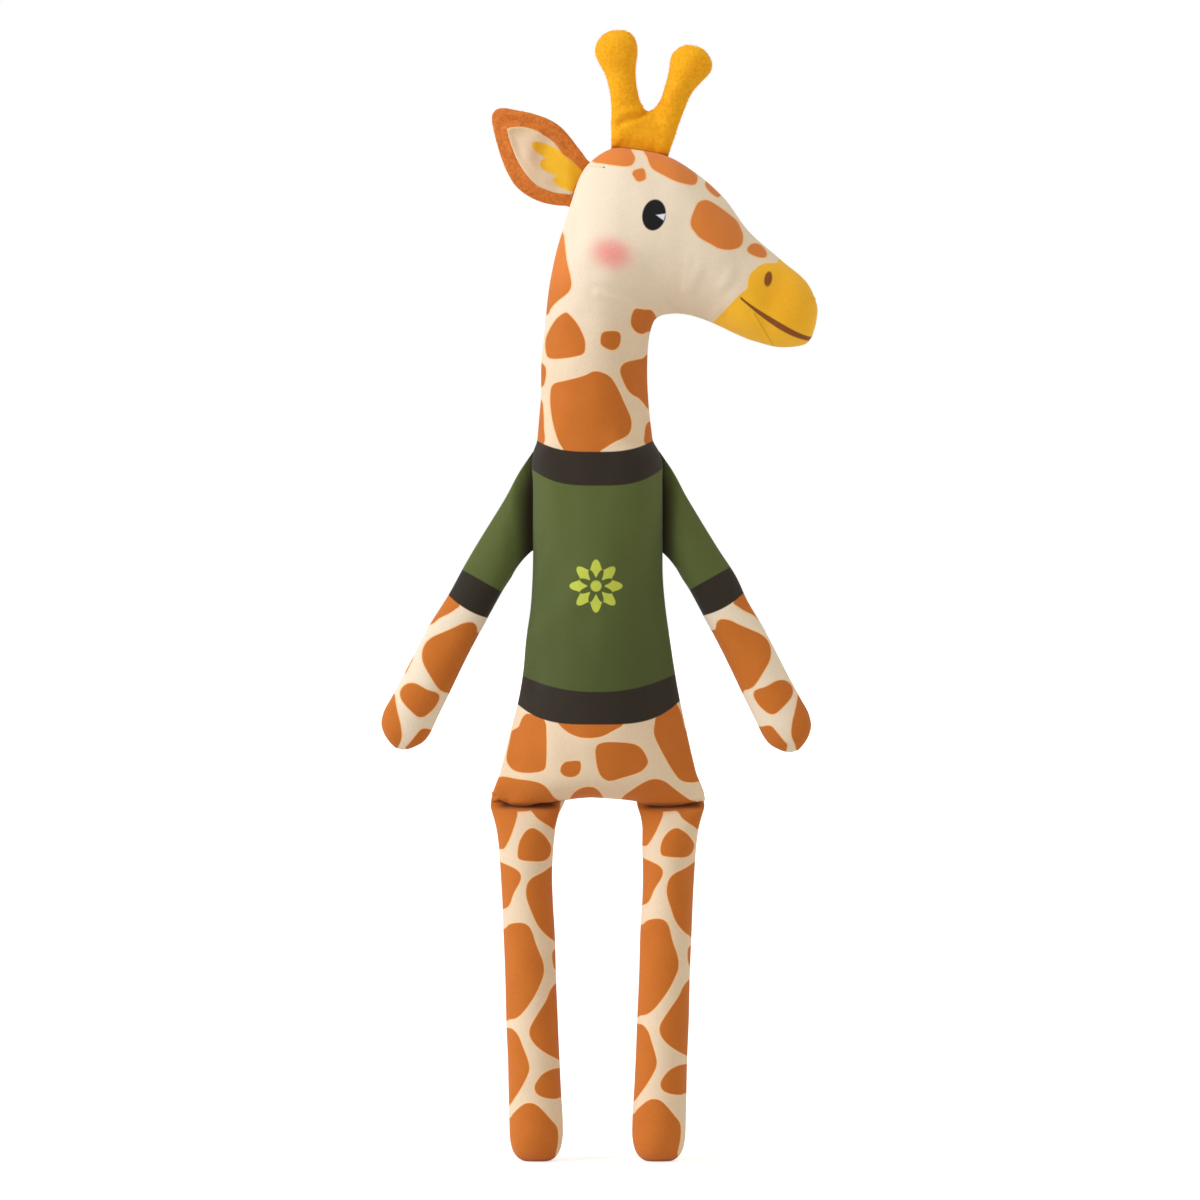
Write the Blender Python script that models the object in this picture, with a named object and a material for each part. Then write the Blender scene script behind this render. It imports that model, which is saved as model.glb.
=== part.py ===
"""A long-legged plush giraffe, sewn from printed cotton and fleece and stuffed with fibre.

The head, neck and trunk are one front and one back panel, sewn together round their outline, which lies
in the plane y = 0. Each limb, the horns and the ear are two panels as well, stuffed, pinched flat at
their open end and sewn to the body's seam, which is the cloth hinge that they move on.
The giraffe faces -Y with its head turned to +X, and +Z is up. Left and right are the giraffe's own, so
its left side is at +X. The origin is on the floor, midway between the feet.
"""

import math
from collections import namedtuple

import bmesh
import bpy
from mathutils import Matrix, Vector

# Cloth, seams and filling
COTTON = 0.0005
FLEECE = 0.0009
SEAM_GAP = 0.0003
FILLING_GAP = 0.0004
HINGE_GAP = 0.0008
CROWN_GAP = 0.0013
FLAT_END = 0.00025
LEAST_FILLING = 0.0010

# Trunk and neck, from the leg crease upwards
HIP_HEIGHT = 0.0525
SHIRT_HEIGHT = 0.1393
NECK_LENGTH = 0.0613
HIP_WIDTH = 0.1125
WAIST_WIDTH = 0.0865
CHEST_WIDTH = 0.0688
COLLAR_WIDTH = 0.0620
NECK_WIDTH = 0.0556
HIP_DEPTH = 0.0500
CHEST_DEPTH = 0.0480
NECK_DEPTH = 0.0450
NECK_SHIFT = -0.0014
HEM_BAND = 0.0164
COLLAR_BAND = 0.0162

# Head, from the top of the neck
HEAD_REACH = 0.1164
HEAD_HEIGHT = 0.0944
HEAD_DEPTH = 0.0560

# Legs
LEG_LENGTH = 0.1889
LEG_WIDTH = 0.0270
LEG_TOP_WIDTH = 0.0360
LEG_DEPTH = 0.0255
FEET_DRAWN_IN = 0.00575
SOLE_PRESS = 0.0005

# Arms
ARM_LENGTH = 0.1698
ARM_WIDTH = 0.0233
ARM_DEPTH = 0.0190
ARM_SEAM = 0.0509
SHOULDER_DROP = 0.0077
ARM_LEAN = math.radians(29.4)

# Horns and ear
HORNS_WIDTH = 0.0629
HORNS_HEIGHT = 0.0647
HORNS_DEPTH = 0.0190
EAR_LENGTH = 0.0586
EAR_WIDTH = 0.0361
EAR_DEPTH = 0.0070

# Faces across one panel, and rows from one hand-placed rung to the next
BODY_ACROSS = 10
LIMB_ACROSS = 6
TRIM_ACROSS = 6
ROWS_BETWEEN = 2

CLOTH_ROUGHNESS = 0.85
FIBRE_ROUGHNESS = 1.0
COLOURS = {
    "cream_print": (0.90, 0.78, 0.60),
    "shirt_green": (0.10, 0.15, 0.04),
    "band_charcoal": (0.045, 0.035, 0.030),
    "muzzle_mustard": (0.88, 0.42, 0.03),
    "horn_fleece": (0.87, 0.38, 0.02),
    "ear_fleece": (0.55, 0.19, 0.04),
    "fibre_filling": (0.93, 0.93, 0.91),
}

# A rung runs straight across a panel from one seam to the other. Its depth is half the stuffed
# thickness. A pinch of 1 makes the section an ellipse, and a higher one thins it towards both seams.
Rung = namedtuple("Rung", "start end depth pinch")

BODY_PINCH, HEAD_PINCH, LIMB_PINCH, EAR_PINCH = 1.45, 1.15, 1.0, 1.3

# Hips: height, flare from waist to hip width, share of the depth
HIP_SHARES = (
    (0.00, 1.00, 0.00),
    (0.05, 1.00, 0.20),
    (0.11, 0.97, 0.40),
    (0.20, 0.84, 0.62),
    (0.38, 0.60, 0.82),
    (0.65, 0.30, 0.95),
    (1.00, 0.00, 1.00),
)
# Shirt: height, flare from chest to waist width, share from chest to hip depth
SHIRT_SHARES = (
    (0.000, 1.00, 1.00),
    (0.240, 0.45, 0.90),
    (0.360, 0.18, 0.70),
    (0.480, 0.02, 0.40),
    (0.650, 0.00, 0.20),
    (0.800, 0.00, 0.05),
    (0.945, 0.00, 0.00),
)
# Neck: height, share from collar to neck width, share from chest to neck depth
NECK_SHARES = (
    (0.00, 0.00, 0.20),
    (0.10, 0.45, 0.45),
    (0.26, 0.80, 0.70),
    (0.50, 1.00, 0.90),
    (0.80, 1.06, 1.00),
)
# Head: the back or crown end and the chin or jaw end of each rung, in shares of the head's reach and
# height from the middle of the neck's top, and the share of the depth
HEAD_SHARES = (
    ((-0.239, 0.000), (0.244, 0.000), 0.82),
    ((-0.212, 0.303), (0.267, 0.034), 0.86),
    ((-0.157, 0.539), (0.294, 0.056), 0.90),
    ((-0.130, 0.663), (0.330, 0.066), 0.93),
    ((-0.048, 0.904), (0.380, 0.067), 0.98),
    ((0.066, 0.990), (0.421, 0.060), 1.00),
    ((0.194, 0.975), (0.453, 0.051), 1.00),
    ((0.317, 0.959), (0.481, 0.039), 1.00),
    ((0.449, 0.871), (0.517, 0.022), 0.98),
    ((0.567, 0.730), (0.567, -0.006), 0.94),
    ((0.699, 0.534), (0.636, -0.045), 0.87),
    ((0.831, 0.376), (0.718, -0.084), 0.78),
    ((0.959, 0.225), (0.854, -0.118), 0.64),
    ((0.998, 0.090), (0.950, -0.098), 0.40),
    ((0.995, 0.011), (0.977, -0.062), 0.00),
)
EAR_LOW_RUNG, EAR_HIGH_RUNG = 3, 4
HORN_BACK_RUNG, HORN_FRONT_RUNG = 5, 7
MUZZLE_RUNG = 11
# Horns: the outer and inner end of each rung from one knob to the other, in shares of the horns'
# spread and height from the middle of their base, the share of the depth, and the pinch
HORN_SHARES = (
    ((-0.270, 0.985), (-0.105, 0.992), 0.00, 1.0),
    ((-0.359, 0.885), (-0.030, 0.902), 0.75, 1.0),
    ((-0.376, 0.770), (-0.021, 0.779), 1.00, 1.0),
    ((-0.300, 0.623), (-0.034, 0.631), 0.80, 1.0),
    ((-0.249, 0.451), (-0.004, 0.459), 0.72, 1.0),
    ((-0.232, 0.221), (0.046, 0.357), 0.66, 1.2),
    ((-0.232, 0.025), (0.072, 0.325), 0.48, 1.7),
    ((0.000, 0.000), (0.089, 0.320), 0.42, 2.0),
    ((0.232, -0.025), (0.114, 0.334), 0.48, 1.7),
    ((0.342, 0.238), (0.148, 0.402), 0.66, 1.2),
    ((0.435, 0.451), (0.207, 0.533), 0.72, 1.0),
    ((0.561, 0.598), (0.236, 0.672), 0.85, 1.0),
    ((0.612, 0.730), (0.270, 0.795), 1.00, 1.0),
    ((0.595, 0.790), (0.310, 0.850), 0.82, 1.0),
    ((0.511, 0.873), (0.418, 0.893), 0.00, 1.0),
)
HORN_CORNERS = (6, 7, 8)
# Ear: how far the lower and the upper edge lie from the sewn line, and how far across, in shares of
# the ear's length and half its width, and the share of the depth
EAR_SHARES = (
    ((0.00, -0.72), (0.00, 0.72), 0.00),
    ((0.09, -0.92), (0.12, 0.77), 0.62),
    ((0.22, -1.09), (0.25, 0.87), 0.90),
    ((0.34, -1.18), (0.41, 0.94), 1.00),
    ((0.48, -1.17), (0.57, 0.88), 0.95),
    ((0.63, -1.00), (0.72, 0.71), 0.85),
    ((0.78, -0.72), (0.85, 0.48), 0.65),
    ((0.91, -0.42), (0.94, 0.31), 0.40),
    ((1.00, -0.15), (1.00, 0.15), 0.00),
)
# Leg: distance below the crease, share from leg to flat top width, share of the depth
LEG_SHARES = (
    (0.000, 1.00, 0.00),
    (0.016, 0.90, 0.02),
    (0.032, 0.66, 0.10),
    (0.056, 0.40, 0.34),
    (0.092, 0.20, 0.68),
    (0.140, 0.03, 0.90),
    (0.200, -0.06, 1.00),
    (0.360, -0.08, 1.00),
    (0.520, -0.07, 1.00),
    (0.690, -0.03, 1.00),
)
# Arm below the shoulder: distance, outer and inner edge across the arm, share of the depth
ARM_SHARES = (
    (0.350, -0.07, 0.97, 0.95),
    (0.418, -0.07, 0.93, 1.00),
    (0.510, -0.05, 0.96, 1.00),
    (0.630, -0.08, 0.96, 1.00),
    (0.780, -0.04, 1.05, 1.00),
)
SHOULDER_DEPTH_SHARES = (0.00, 0.37, 0.70, 0.88)
SLEEVE_END, CUFF_END = 5, 6
HAND_SHARE = 0.55
ROUND_END_DEGREES = (0, 30, 52, 70)
END_WIDTH_SHARE = 0.38

CREASE = LEG_LENGTH
HIP_PLACE = (HIP_WIDTH - LEG_TOP_WIDTH) / 2
FOOT_PLACE = HIP_PLACE - FEET_DRAWN_IN
WAIST = CREASE + HIP_HEIGHT
COLLAR = WAIST + SHIRT_HEIGHT
NECK_TOP = COLLAR + NECK_LENGTH


def mix(first, second, share):
    return first + (second - first) * share


def between(first, second, share):
    """The rung that lies a share of the way from the first to the second."""
    return Rung(*(mix(a, b, share) for a, b in zip(first, second)))


def curved(before, first, second, after, share):
    """A value a share of the way from first to second, on the smooth curve through all four."""
    slope = second - before
    bend = before * 2 - first * 5 + second * 4 - after
    turn = first * 3 - before - second * 3 + after
    return first + (slope + (bend + turn * share) * share) * (share / 2)


def smoothed(rungs, corners=()):
    """The rungs with smooth rows added between them. The outline turns sharply only at the corners."""
    rows, last = [], len(rungs) - 1
    for i in range(last):
        before = rungs[i if i in corners else max(i - 1, 0)]
        after = rungs[i + 1 if i + 1 in corners else min(i + 2, last)]
        near = (before, rungs[i], rungs[i + 1], after)
        for step in range(ROWS_BETWEEN):
            rows.append(Rung(*(curved(*values, step / ROWS_BETWEEN) for values in zip(*near))))
    return rows + [rungs[-1]]


def level(z, half_width, half_depth, pinch, centre=0):
    start, end = Vector((centre - half_width, 0, z)), Vector((centre + half_width, 0, z))
    return Rung(start, end, half_depth, pinch)


def middle(rung):
    return (rung.start + rung.end) / 2


def moved_on(rung, towards, distance):
    """The rung moved a distance towards another."""
    return between(rung, towards, distance / (middle(towards) - middle(rung)).length)


def row_at(table, height):
    """The values of a table of shares at a height, straight between its rows."""
    for low, high in zip(table, table[1:]):
        if height <= high[0]:
            share = (height - low[0]) / (high[0] - low[0])
            return [mix(a, b, share) for a, b in zip(low, high)]
    return table[-1]


def trunk_rungs():
    hip, waist, chest = HIP_WIDTH / 2, WAIST_WIDTH / 2, CHEST_WIDTH / 2
    rungs = []
    for height, flare, depth in HIP_SHARES[:-1]:
        width = mix(waist, hip, flare)
        rungs.append(level(CREASE + HIP_HEIGHT * height, width, HIP_DEPTH / 2 * depth, BODY_PINCH))
    bands = {HEM_BAND / SHIRT_HEIGHT, 1 - COLLAR_BAND / SHIRT_HEIGHT}
    for height in sorted(bands | {row[0] for row in SHIRT_SHARES}):
        _, flare, deepening = row_at(SHIRT_SHARES, height)
        width, depth = mix(chest, waist, flare), mix(CHEST_DEPTH, HIP_DEPTH, deepening)
        rungs.append(level(WAIST + SHIRT_HEIGHT * height, width, depth / 2, BODY_PINCH))
    return rungs


def neck_rungs():
    rungs = []
    for height, narrowing, flattening in NECK_SHARES:
        width = mix(COLLAR_WIDTH, NECK_WIDTH, narrowing)
        depth = mix(CHEST_DEPTH, NECK_DEPTH, flattening)
        pinch = mix(BODY_PINCH, HEAD_PINCH, height)
        rungs.append(level(COLLAR + NECK_LENGTH * height, width / 2, depth / 2, pinch, NECK_SHIFT))
    return rungs


def head_point(shares):
    return Vector((shares[0] * HEAD_REACH, 0, NECK_TOP + shares[1] * HEAD_HEIGHT))


def head_rungs():
    keys = [
        Rung(head_point(back), head_point(jaw), HEAD_DEPTH / 2 * depth, HEAD_PINCH)
        for back, jaw, depth in HEAD_SHARES
    ]
    return smoothed(keys)


def leg_rungs(side):
    """A leg's rungs from its flat top, just under the crease, to the sole."""
    length = LEG_LENGTH - HINGE_GAP
    radius = LEG_WIDTH / 2
    flat, full = COTTON + FLAT_END - SEAM_GAP / 2, LEG_DEPTH / 2
    rungs = []
    for drop, widening, depth in LEG_SHARES:
        width = mix(LEG_WIDTH, LEG_TOP_WIDTH, widening) / 2
        centre = side * mix(HIP_PLACE, FOOT_PLACE, drop)
        rungs.append(level(length * (1 - drop), width, mix(flat, full, depth), LIMB_PINCH, centre))
    pressed = math.asin(1 - SOLE_PRESS / radius)
    for angle in (*(math.radians(degrees) for degrees in ROUND_END_DEGREES[:-1]), pressed):
        z = radius * (1 - math.sin(angle)) - SOLE_PRESS
        width = radius * mix(END_WIDTH_SHARE, 1, math.cos(angle))
        rungs.append(level(z, width, full * math.cos(angle), LIMB_PINCH, side * FOOT_PLACE))
    return rungs


def arm_place(side):
    """Where the shoulder is, and the directions along the arm and inwards across it."""
    shoulder = Vector((side * (CHEST_WIDTH / 2 + HINGE_GAP), 0, COLLAR - SHOULDER_DROP))
    along = Vector((side * math.sin(ARM_LEAN), 0, -math.cos(ARM_LEAN)))
    inwards = Vector((-side * math.cos(ARM_LEAN), 0, -math.sin(ARM_LEAN)))
    return shoulder, along, inwards


def arm_rungs(side):
    """An arm's rungs: a fan from its sewn line about the armpit, then straight down to the hand."""
    shoulder, along, inwards = arm_place(side)
    flat, full = COTTON + FLAT_END - SEAM_GAP / 2, ARM_DEPTH / 2

    def rung(outer, inner, depth):
        ends = (shoulder + along * a + inwards * b for a, b in (outer, inner))
        return Rung(*ends, depth, LIMB_PINCH)

    armpit = (ARM_SEAM * math.cos(ARM_LEAN), ARM_SEAM * math.sin(ARM_LEAN))
    reach, outside, inside, _ = ARM_SHARES[0]
    rungs = []
    for i, depth in enumerate(SHOULDER_DEPTH_SHARES):
        turn = i / len(SHOULDER_DEPTH_SHARES)
        outer = (ARM_LENGTH * reach * turn, ARM_WIDTH * outside * turn)
        inner = (mix(armpit[0], ARM_LENGTH * reach, turn), mix(armpit[1], ARM_WIDTH * inside, turn))
        rungs.append(rung(outer, inner, mix(flat, full, depth)))
    for distance, outside, inside, depth in ARM_SHARES:
        a = ARM_LENGTH * distance
        rungs.append(rung((a, ARM_WIDTH * outside), (a, ARM_WIDTH * inside), full * depth))
    radius, centre = ARM_WIDTH * HAND_SHARE, ARM_WIDTH * mix(outside, inside, 1 / 2)
    for degrees in (*ROUND_END_DEGREES, 90):
        angle = math.radians(degrees)
        a = ARM_LENGTH - radius + radius * math.sin(angle)
        width = radius * mix(END_WIDTH_SHARE, 1, math.cos(angle))
        depth = full * math.cos(angle) if degrees < 90 else 0
        rungs.append(rung((a, centre - width), (a, centre + width), depth))
    return rungs


def seated_line(first, last):
    """The straight sewn line between two points of the head's outline, just outside it."""
    outwards = Vector((first.z - last.z, 0, last.x - first.x)).normalized()
    return first + outwards * CROWN_GAP, last + outwards * CROWN_GAP


def horn_line():
    back, front = (head_point(HEAD_SHARES[i][0]) for i in (HORN_BACK_RUNG, HORN_FRONT_RUNG))
    return seated_line(back, front)


def horn_rungs():
    back, front = horn_line()
    base = (back + front) / 2
    keys = []
    for outer, inner, depth, pinch in HORN_SHARES:
        ends = (base + Vector((x * HORNS_WIDTH, 0, z * HORNS_HEIGHT)) for x, z in (outer, inner))
        keys.append(Rung(*ends, HORNS_DEPTH / 2 * depth, pinch))
    return smoothed(keys, HORN_CORNERS)


def ear_line():
    low, high = (head_point(HEAD_SHARES[i][0]) for i in (EAR_LOW_RUNG, EAR_HIGH_RUNG))
    return seated_line(low, high)


def ear_rungs():
    low, high = ear_line()
    up = (high - low).normalized()
    out = Vector((-up.z, 0, up.x))
    flat, full = COTTON + FLEECE, EAR_DEPTH / 2
    rungs = []
    for lower, upper, depth in EAR_SHARES:
        ends = (
            (low + high) / 2 + out * (EAR_LENGTH * along) + up * (EAR_WIDTH / 2 * across)
            for along, across in (lower, upper)
        )
        tip = (lower, upper, depth) == EAR_SHARES[-1]
        rungs.append(Rung(*ends, 0 if tip else mix(flat, full, depth), EAR_PINCH))
    return rungs


def inset(rungs, distance):
    """The rungs drawn in by a distance on every side, a closed end included."""
    rows = []
    for i, rung in enumerate(rungs):
        if rung.depth < distance:
            rung = moved_on(rung, rungs[i + 1 if i == 0 else i - 1], distance)._replace(depth=distance)
        across = (rung.end - rung.start).normalized() * distance
        rows.append(Rung(rung.start + across, rung.end - across, rung.depth - distance, rung.pinch))
    return rows


def row_points(rung, side, across, seam, floor):
    """The points of one rung's section from seam to seam, none lower than the floor."""
    points = []
    for i in range(across + 1):
        angle = math.pi * i / across
        place = mix(rung.start, rung.end, (1 - math.cos(angle)) / 2)
        place.y = side * (seam + rung.depth * max(math.sin(angle), 0) ** rung.pinch)
        place.z = max(place.z, floor)
        points.append(place)
    return points


def material(name):
    found = bpy.data.materials.get(name)
    if found:
        return found
    made = bpy.data.materials.new(name)
    made.use_nodes = True
    shader = made.node_tree.nodes["Principled BSDF"]
    shader.inputs["Base Color"].default_value = (*COLOURS[name], 1)
    shader.inputs["Roughness"].default_value = FIBRE_ROUGHNESS if name == "fibre_filling" else CLOTH_ROUGHNESS
    shader.inputs["Metallic"].default_value = 0
    made.diffuse_color = (*COLOURS[name], 1)
    return made


def finished(name, mesh, colours, hinge):
    """The bmesh as a named object whose origin lies on its hinge."""
    bmesh.ops.recalc_face_normals(mesh, faces=mesh.faces)
    if mesh.calc_volume(signed=True) < 0:
        bmesh.ops.reverse_faces(mesh, faces=mesh.faces)
    data = bpy.data.meshes.new(name)
    mesh.to_mesh(data)
    mesh.free()
    data.transform(Matrix.Translation(-hinge))
    data.shade_smooth()
    data.set_sharp_from_angle(angle=math.radians(50))
    for colour in colours:
        data.materials.append(material(colour))
    made = bpy.data.objects.new(name, data)
    made.location = hinge
    bpy.context.scene.collection.objects.link(made)
    return made


def sheet(mesh, grid):
    """Two triangles for each cell of the grid, always split the same way, and the row of each."""
    made = []
    for row, (line, following) in enumerate(zip(grid, grid[1:])):
        for i in range(len(line) - 1):
            far = following[i + 1]
            made.append((row, mesh.faces.new([line[i], line[i + 1], far])))
            made.append((row, mesh.faces.new([line[i], far, following[i]])))
    return made


def edge_of(grid, soled):
    """The points round the grid's edge, in order. A sole closes the last row, all but its two ends."""
    first, last = grid[0], grid[-1]
    end = last[-1:] if soled else last[1:]
    return [row[0] for row in grid] + end + [row[-1] for row in grid[-2::-1]] + first[-2:0:-1]


def panel(name, rungs, side, across, cloth, prints, hinge=Vector()):
    """One panel of cloth over the rungs. Prints are colours, each with the row that it starts at."""
    mesh = bmesh.new()
    colours = list(dict.fromkeys(colour for colour, _ in prints))
    soled = rungs[-1].depth > 0
    rims = []
    for rows, floor in ((rungs, 0), (inset(rungs, cloth), cloth)):
        places = [row_points(rung, side, across, SEAM_GAP / 2, floor) for rung in rows]
        grid = [[mesh.verts.new(place) for place in row] for row in places]
        for row, face in sheet(mesh, grid):
            colour = next(name for name, start in reversed(prints) if row >= start)
            face.material_index = colours.index(colour)
        if soled:
            mesh.faces.new(grid[-1])
        rims.append(edge_of(grid, soled))
    sheet(mesh, [rim + rim[:1] for rim in rims])
    return finished(name, mesh, colours, hinge)


def filling(name, rungs, cloth, across, hinge=Vector()):
    """The wad of fibre that fills the panels over these rungs."""
    gap = cloth + FILLING_GAP
    rows = inset([rung for rung in rungs if rung.depth > gap + LEAST_FILLING], gap)
    mesh = bmesh.new()
    front = [[mesh.verts.new(place) for place in row_points(rung, -1, across, 0, gap)] for rung in rows]
    back = []
    for rung, line in zip(rows, front):
        inner = row_points(rung, 1, across, 0, gap)[1:-1]
        back.append([line[0]] + [mesh.verts.new(place) for place in inner] + [line[-1]])
    sheet(mesh, front)
    sheet(mesh, back)
    for i in (0, -1):
        mesh.faces.new(front[i] + back[i][-2:0:-1])
    return finished(name, mesh, ["fibre_filling"], hinge)


def stuffed(name, rungs, across, hinge, front, back):
    """Two sewn panels and the filling between them. Front and back are each a cloth and its prints."""
    panel(name + "_front_panel", rungs, -1, across, *front, hinge)
    panel(name + "_back_panel", rungs, 1, across, *back, hinge)
    filling(name + "_stuffing", rungs, max(front[0], back[0]), across, hinge)


def build_body():
    trunk, neck, head = trunk_rungs(), neck_rungs(), head_rungs()
    rungs = trunk + neck + head
    waist, collar = len(HIP_SHARES) - 1, len(trunk)
    band_row = next(i for i, rung in enumerate(trunk) if rung.start.z > COLLAR - COLLAR_BAND - SEAM_GAP)
    muzzle = collar + len(neck) + MUZZLE_RUNG * ROWS_BETWEEN
    prints = [
        ("cream_print", 0),
        ("band_charcoal", waist),
        ("shirt_green", waist + 1),
        ("band_charcoal", band_row),
        ("cream_print", collar),
        ("muzzle_mustard", muzzle),
    ]
    panel("body_front_panel", rungs, -1, BODY_ACROSS, COTTON, prints)
    panel("body_back_panel", rungs, 1, BODY_ACROSS, COTTON, prints)
    neck_start, head_start = neck[0], neck[-1]
    filling("trunk_stuffing", trunk + [neck_start], COTTON, BODY_ACROSS)
    lifted = moved_on(neck_start, neck[1], FILLING_GAP)
    filling("neck_stuffing", [lifted] + neck[1:], COTTON, BODY_ACROSS)
    lifted = moved_on(head_start, head[0], FILLING_GAP)
    filling("head_stuffing", [lifted] + head, COTTON, BODY_ACROSS)


def build_limbs():
    leg_print = [("cream_print", 0)]
    arm_print = [("shirt_green", 0), ("band_charcoal", SLEEVE_END), ("cream_print", CUFF_END)]
    for name, side in (("left", 1), ("right", -1)):
        crease = Vector((side * HIP_PLACE, 0, CREASE - HINGE_GAP))
        leg, arm = (COTTON, leg_print), (COTTON, arm_print)
        stuffed(name + "_leg", leg_rungs(side), LIMB_ACROSS, crease, leg, leg)
        stuffed(name + "_arm", arm_rungs(side), LIMB_ACROSS, arm_place(side)[0], arm, arm)


def build_trim():
    fleece = (FLEECE, [("horn_fleece", 0)])
    stuffed("horns", horn_rungs(), TRIM_ACROSS, sum(horn_line(), Vector()) / 2, fleece, fleece)
    lining, back = (COTTON, [("cream_print", 0)]), (FLEECE, [("ear_fleece", 0)])
    stuffed("ear", ear_rungs(), TRIM_ACROSS, sum(ear_line(), Vector()) / 2, lining, back)


for old in list(bpy.data.objects):
    bpy.data.objects.remove(old)
build_body()
build_limbs()
build_trim()
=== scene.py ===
"""The looks of a long-legged plush giraffe: printed cotton and fleece, sewn flat and stuffed with fibre.

Outlines are given in the photograph's pixels, 1200 across, and turned into metres by px(). The seams lie
in the plane y = 0. Each piece is a row of rungs from one seam to the other, puffed out to both sides.
"""

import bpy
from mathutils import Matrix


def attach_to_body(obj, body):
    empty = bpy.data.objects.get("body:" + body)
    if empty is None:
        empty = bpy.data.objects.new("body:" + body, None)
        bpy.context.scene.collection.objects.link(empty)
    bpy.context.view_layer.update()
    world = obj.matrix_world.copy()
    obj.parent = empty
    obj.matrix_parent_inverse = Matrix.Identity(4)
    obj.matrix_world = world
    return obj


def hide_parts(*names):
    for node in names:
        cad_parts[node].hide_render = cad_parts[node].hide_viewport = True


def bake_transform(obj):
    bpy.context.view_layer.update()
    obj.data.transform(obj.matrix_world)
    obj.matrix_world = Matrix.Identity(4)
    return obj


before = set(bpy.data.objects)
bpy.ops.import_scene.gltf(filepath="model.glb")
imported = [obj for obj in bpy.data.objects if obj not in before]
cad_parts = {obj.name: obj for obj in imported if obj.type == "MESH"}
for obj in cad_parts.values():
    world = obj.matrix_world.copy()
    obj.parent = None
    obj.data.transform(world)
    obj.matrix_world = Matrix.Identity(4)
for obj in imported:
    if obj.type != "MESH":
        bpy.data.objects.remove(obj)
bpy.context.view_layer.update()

import math

import bmesh
import bpy
import numpy as np
from mathutils import Vector
from mathutils.bvhtree import BVHTree

SCALE = 0.0005305
MIDDLE, FLOOR = 597.5, 1161.0
CAMERA = (0.0013, 2.387, 0.2976)
ROW_LENGTH = 0.003

HEAD_PINCH = 1.15
HEAD_DEPTH = 28.0
LIP_DROOP = 0.0028

# Rungs: start and end in pixels, half the thickness in millimetres, pinch
TRUNK = [
    (804.9, 491.5, 703.5, 0, 1.45),
    (802.5, 491.3, 705, 4.8, 1.35),
    (798, 491.9, 704.6, 9.4, 1.35),
    (792, 493.2, 703.6, 13, 1.38),
    (784, 495.8, 700.8, 16.5, 1.42),
    (776, 499, 697.3, 18.8, 1.45),
    (760, 503.5, 693, 21.3, 1.45),
    (744, 507.5, 689.3, 23.5, 1.45),
    (728, 511.5, 685.8, 24.4, 1.45),
    (704, 517.6, 680.6, 25, 1.45),
    (673, 523, 675, 24.8, 1.45),
    (640, 526, 670, 24.5, 1.45),
    (608, 530.5, 665.5, 24.2, 1.45),
    (576, 532.5, 662.8, 24, 1.45),
    (556, 533, 662.5, 24, 1.35),
    (535, 533, 662.2, 24, 1.1),
    (480, 533, 662, 24, 1.1),
    (460, 532, 661.5, 24, 1.15),
    (450, 534, 658, 23.9, 1.25),
    (441.5, 537, 653, 23.8, 1.3),
    (432, 538, 651.5, 23.5, 1.32),
    (420, 539, 650, 23.2, 1.34),
    (398, 541, 648, 22.8, 1.28),
    (365, 541.5, 647, 22.5, 1.2),
    (344, 543.5, 648, 22.7, 1.17),
]
HEAD = [
    (545, 333, 649.3, 335, 0.815),
    (546, 320, 650.9, 328.5, 0.82),
    (547.6, 303, 652.6, 323.5, 0.835),
    (549.6, 287, 654.4, 320, 0.85),
    (552.2, 272, 656.8, 317.8, 0.86),
    (556.8, 251, 659.8, 316, 0.88),
    (563, 230, 663.2, 314.7, 0.90),
    (569.5, 208, 670, 313.7, 0.93),
    (587.5, 165.5, 681, 313.7, 0.98),
    (612, 149.3, 690, 315, 1.00),
    (640, 150.8, 697, 317, 1.00),
    (667, 156.8, 703, 319, 1.00),
    (696, 174, 711, 322, 0.98),
    (722.3, 197.2, 722, 327, 0.94),
    (750.3, 233.8, 737, 334, 0.87),
    (780, 259.8, 755, 341, 0.78),
    (809, 286.8, 785, 347, 0.64),
    (817.2, 309, 806, 343.5, 0.40),
    (816, 324, 812, 337, 0.00),
]
# Leg: height, distance of its middle from the toy's middle, half width, half thickness
LEG = [
    (799.5, 72.5, 33.5, 0),
    (804, 72.8, 34, 0.8),
    (807, 73, 33.8, 1.4),
    (809.5, 73, 33.3, 4.2),
    (813, 72.9, 32.3, 6.8),
    (819, 72.5, 30.8, 8.8),
    (827, 72, 29.2, 10.4),
    (836, 71.6, 28, 11.4),
    (848, 71.4, 26.8, 12.1),
    (864, 71.3, 25.8, 12.6),
    (904, 69.8, 25, 12.75),
    (930, 68.5, 25.3, 12.75),
    (976, 66.9, 25.1, 12.75),
    (1018, 65.5, 25.5, 12.75),
    (1060, 63.8, 25.5, 12.75),
    (1091, 62.7, 25.9, 12.75),
    (1125, 61.4, 26.4, 12.75),
    (1136, 61.2, 26.2, 12.6),
    (1145, 61.2, 24.8, 11.5),
    (1152, 61.2, 22.4, 9.5),
    (1157, 61.2, 18.7, 7),
    (1160, 61.2, 14.5, 3.6),
    (1161, 61.2, 10, 0),
]
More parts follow.
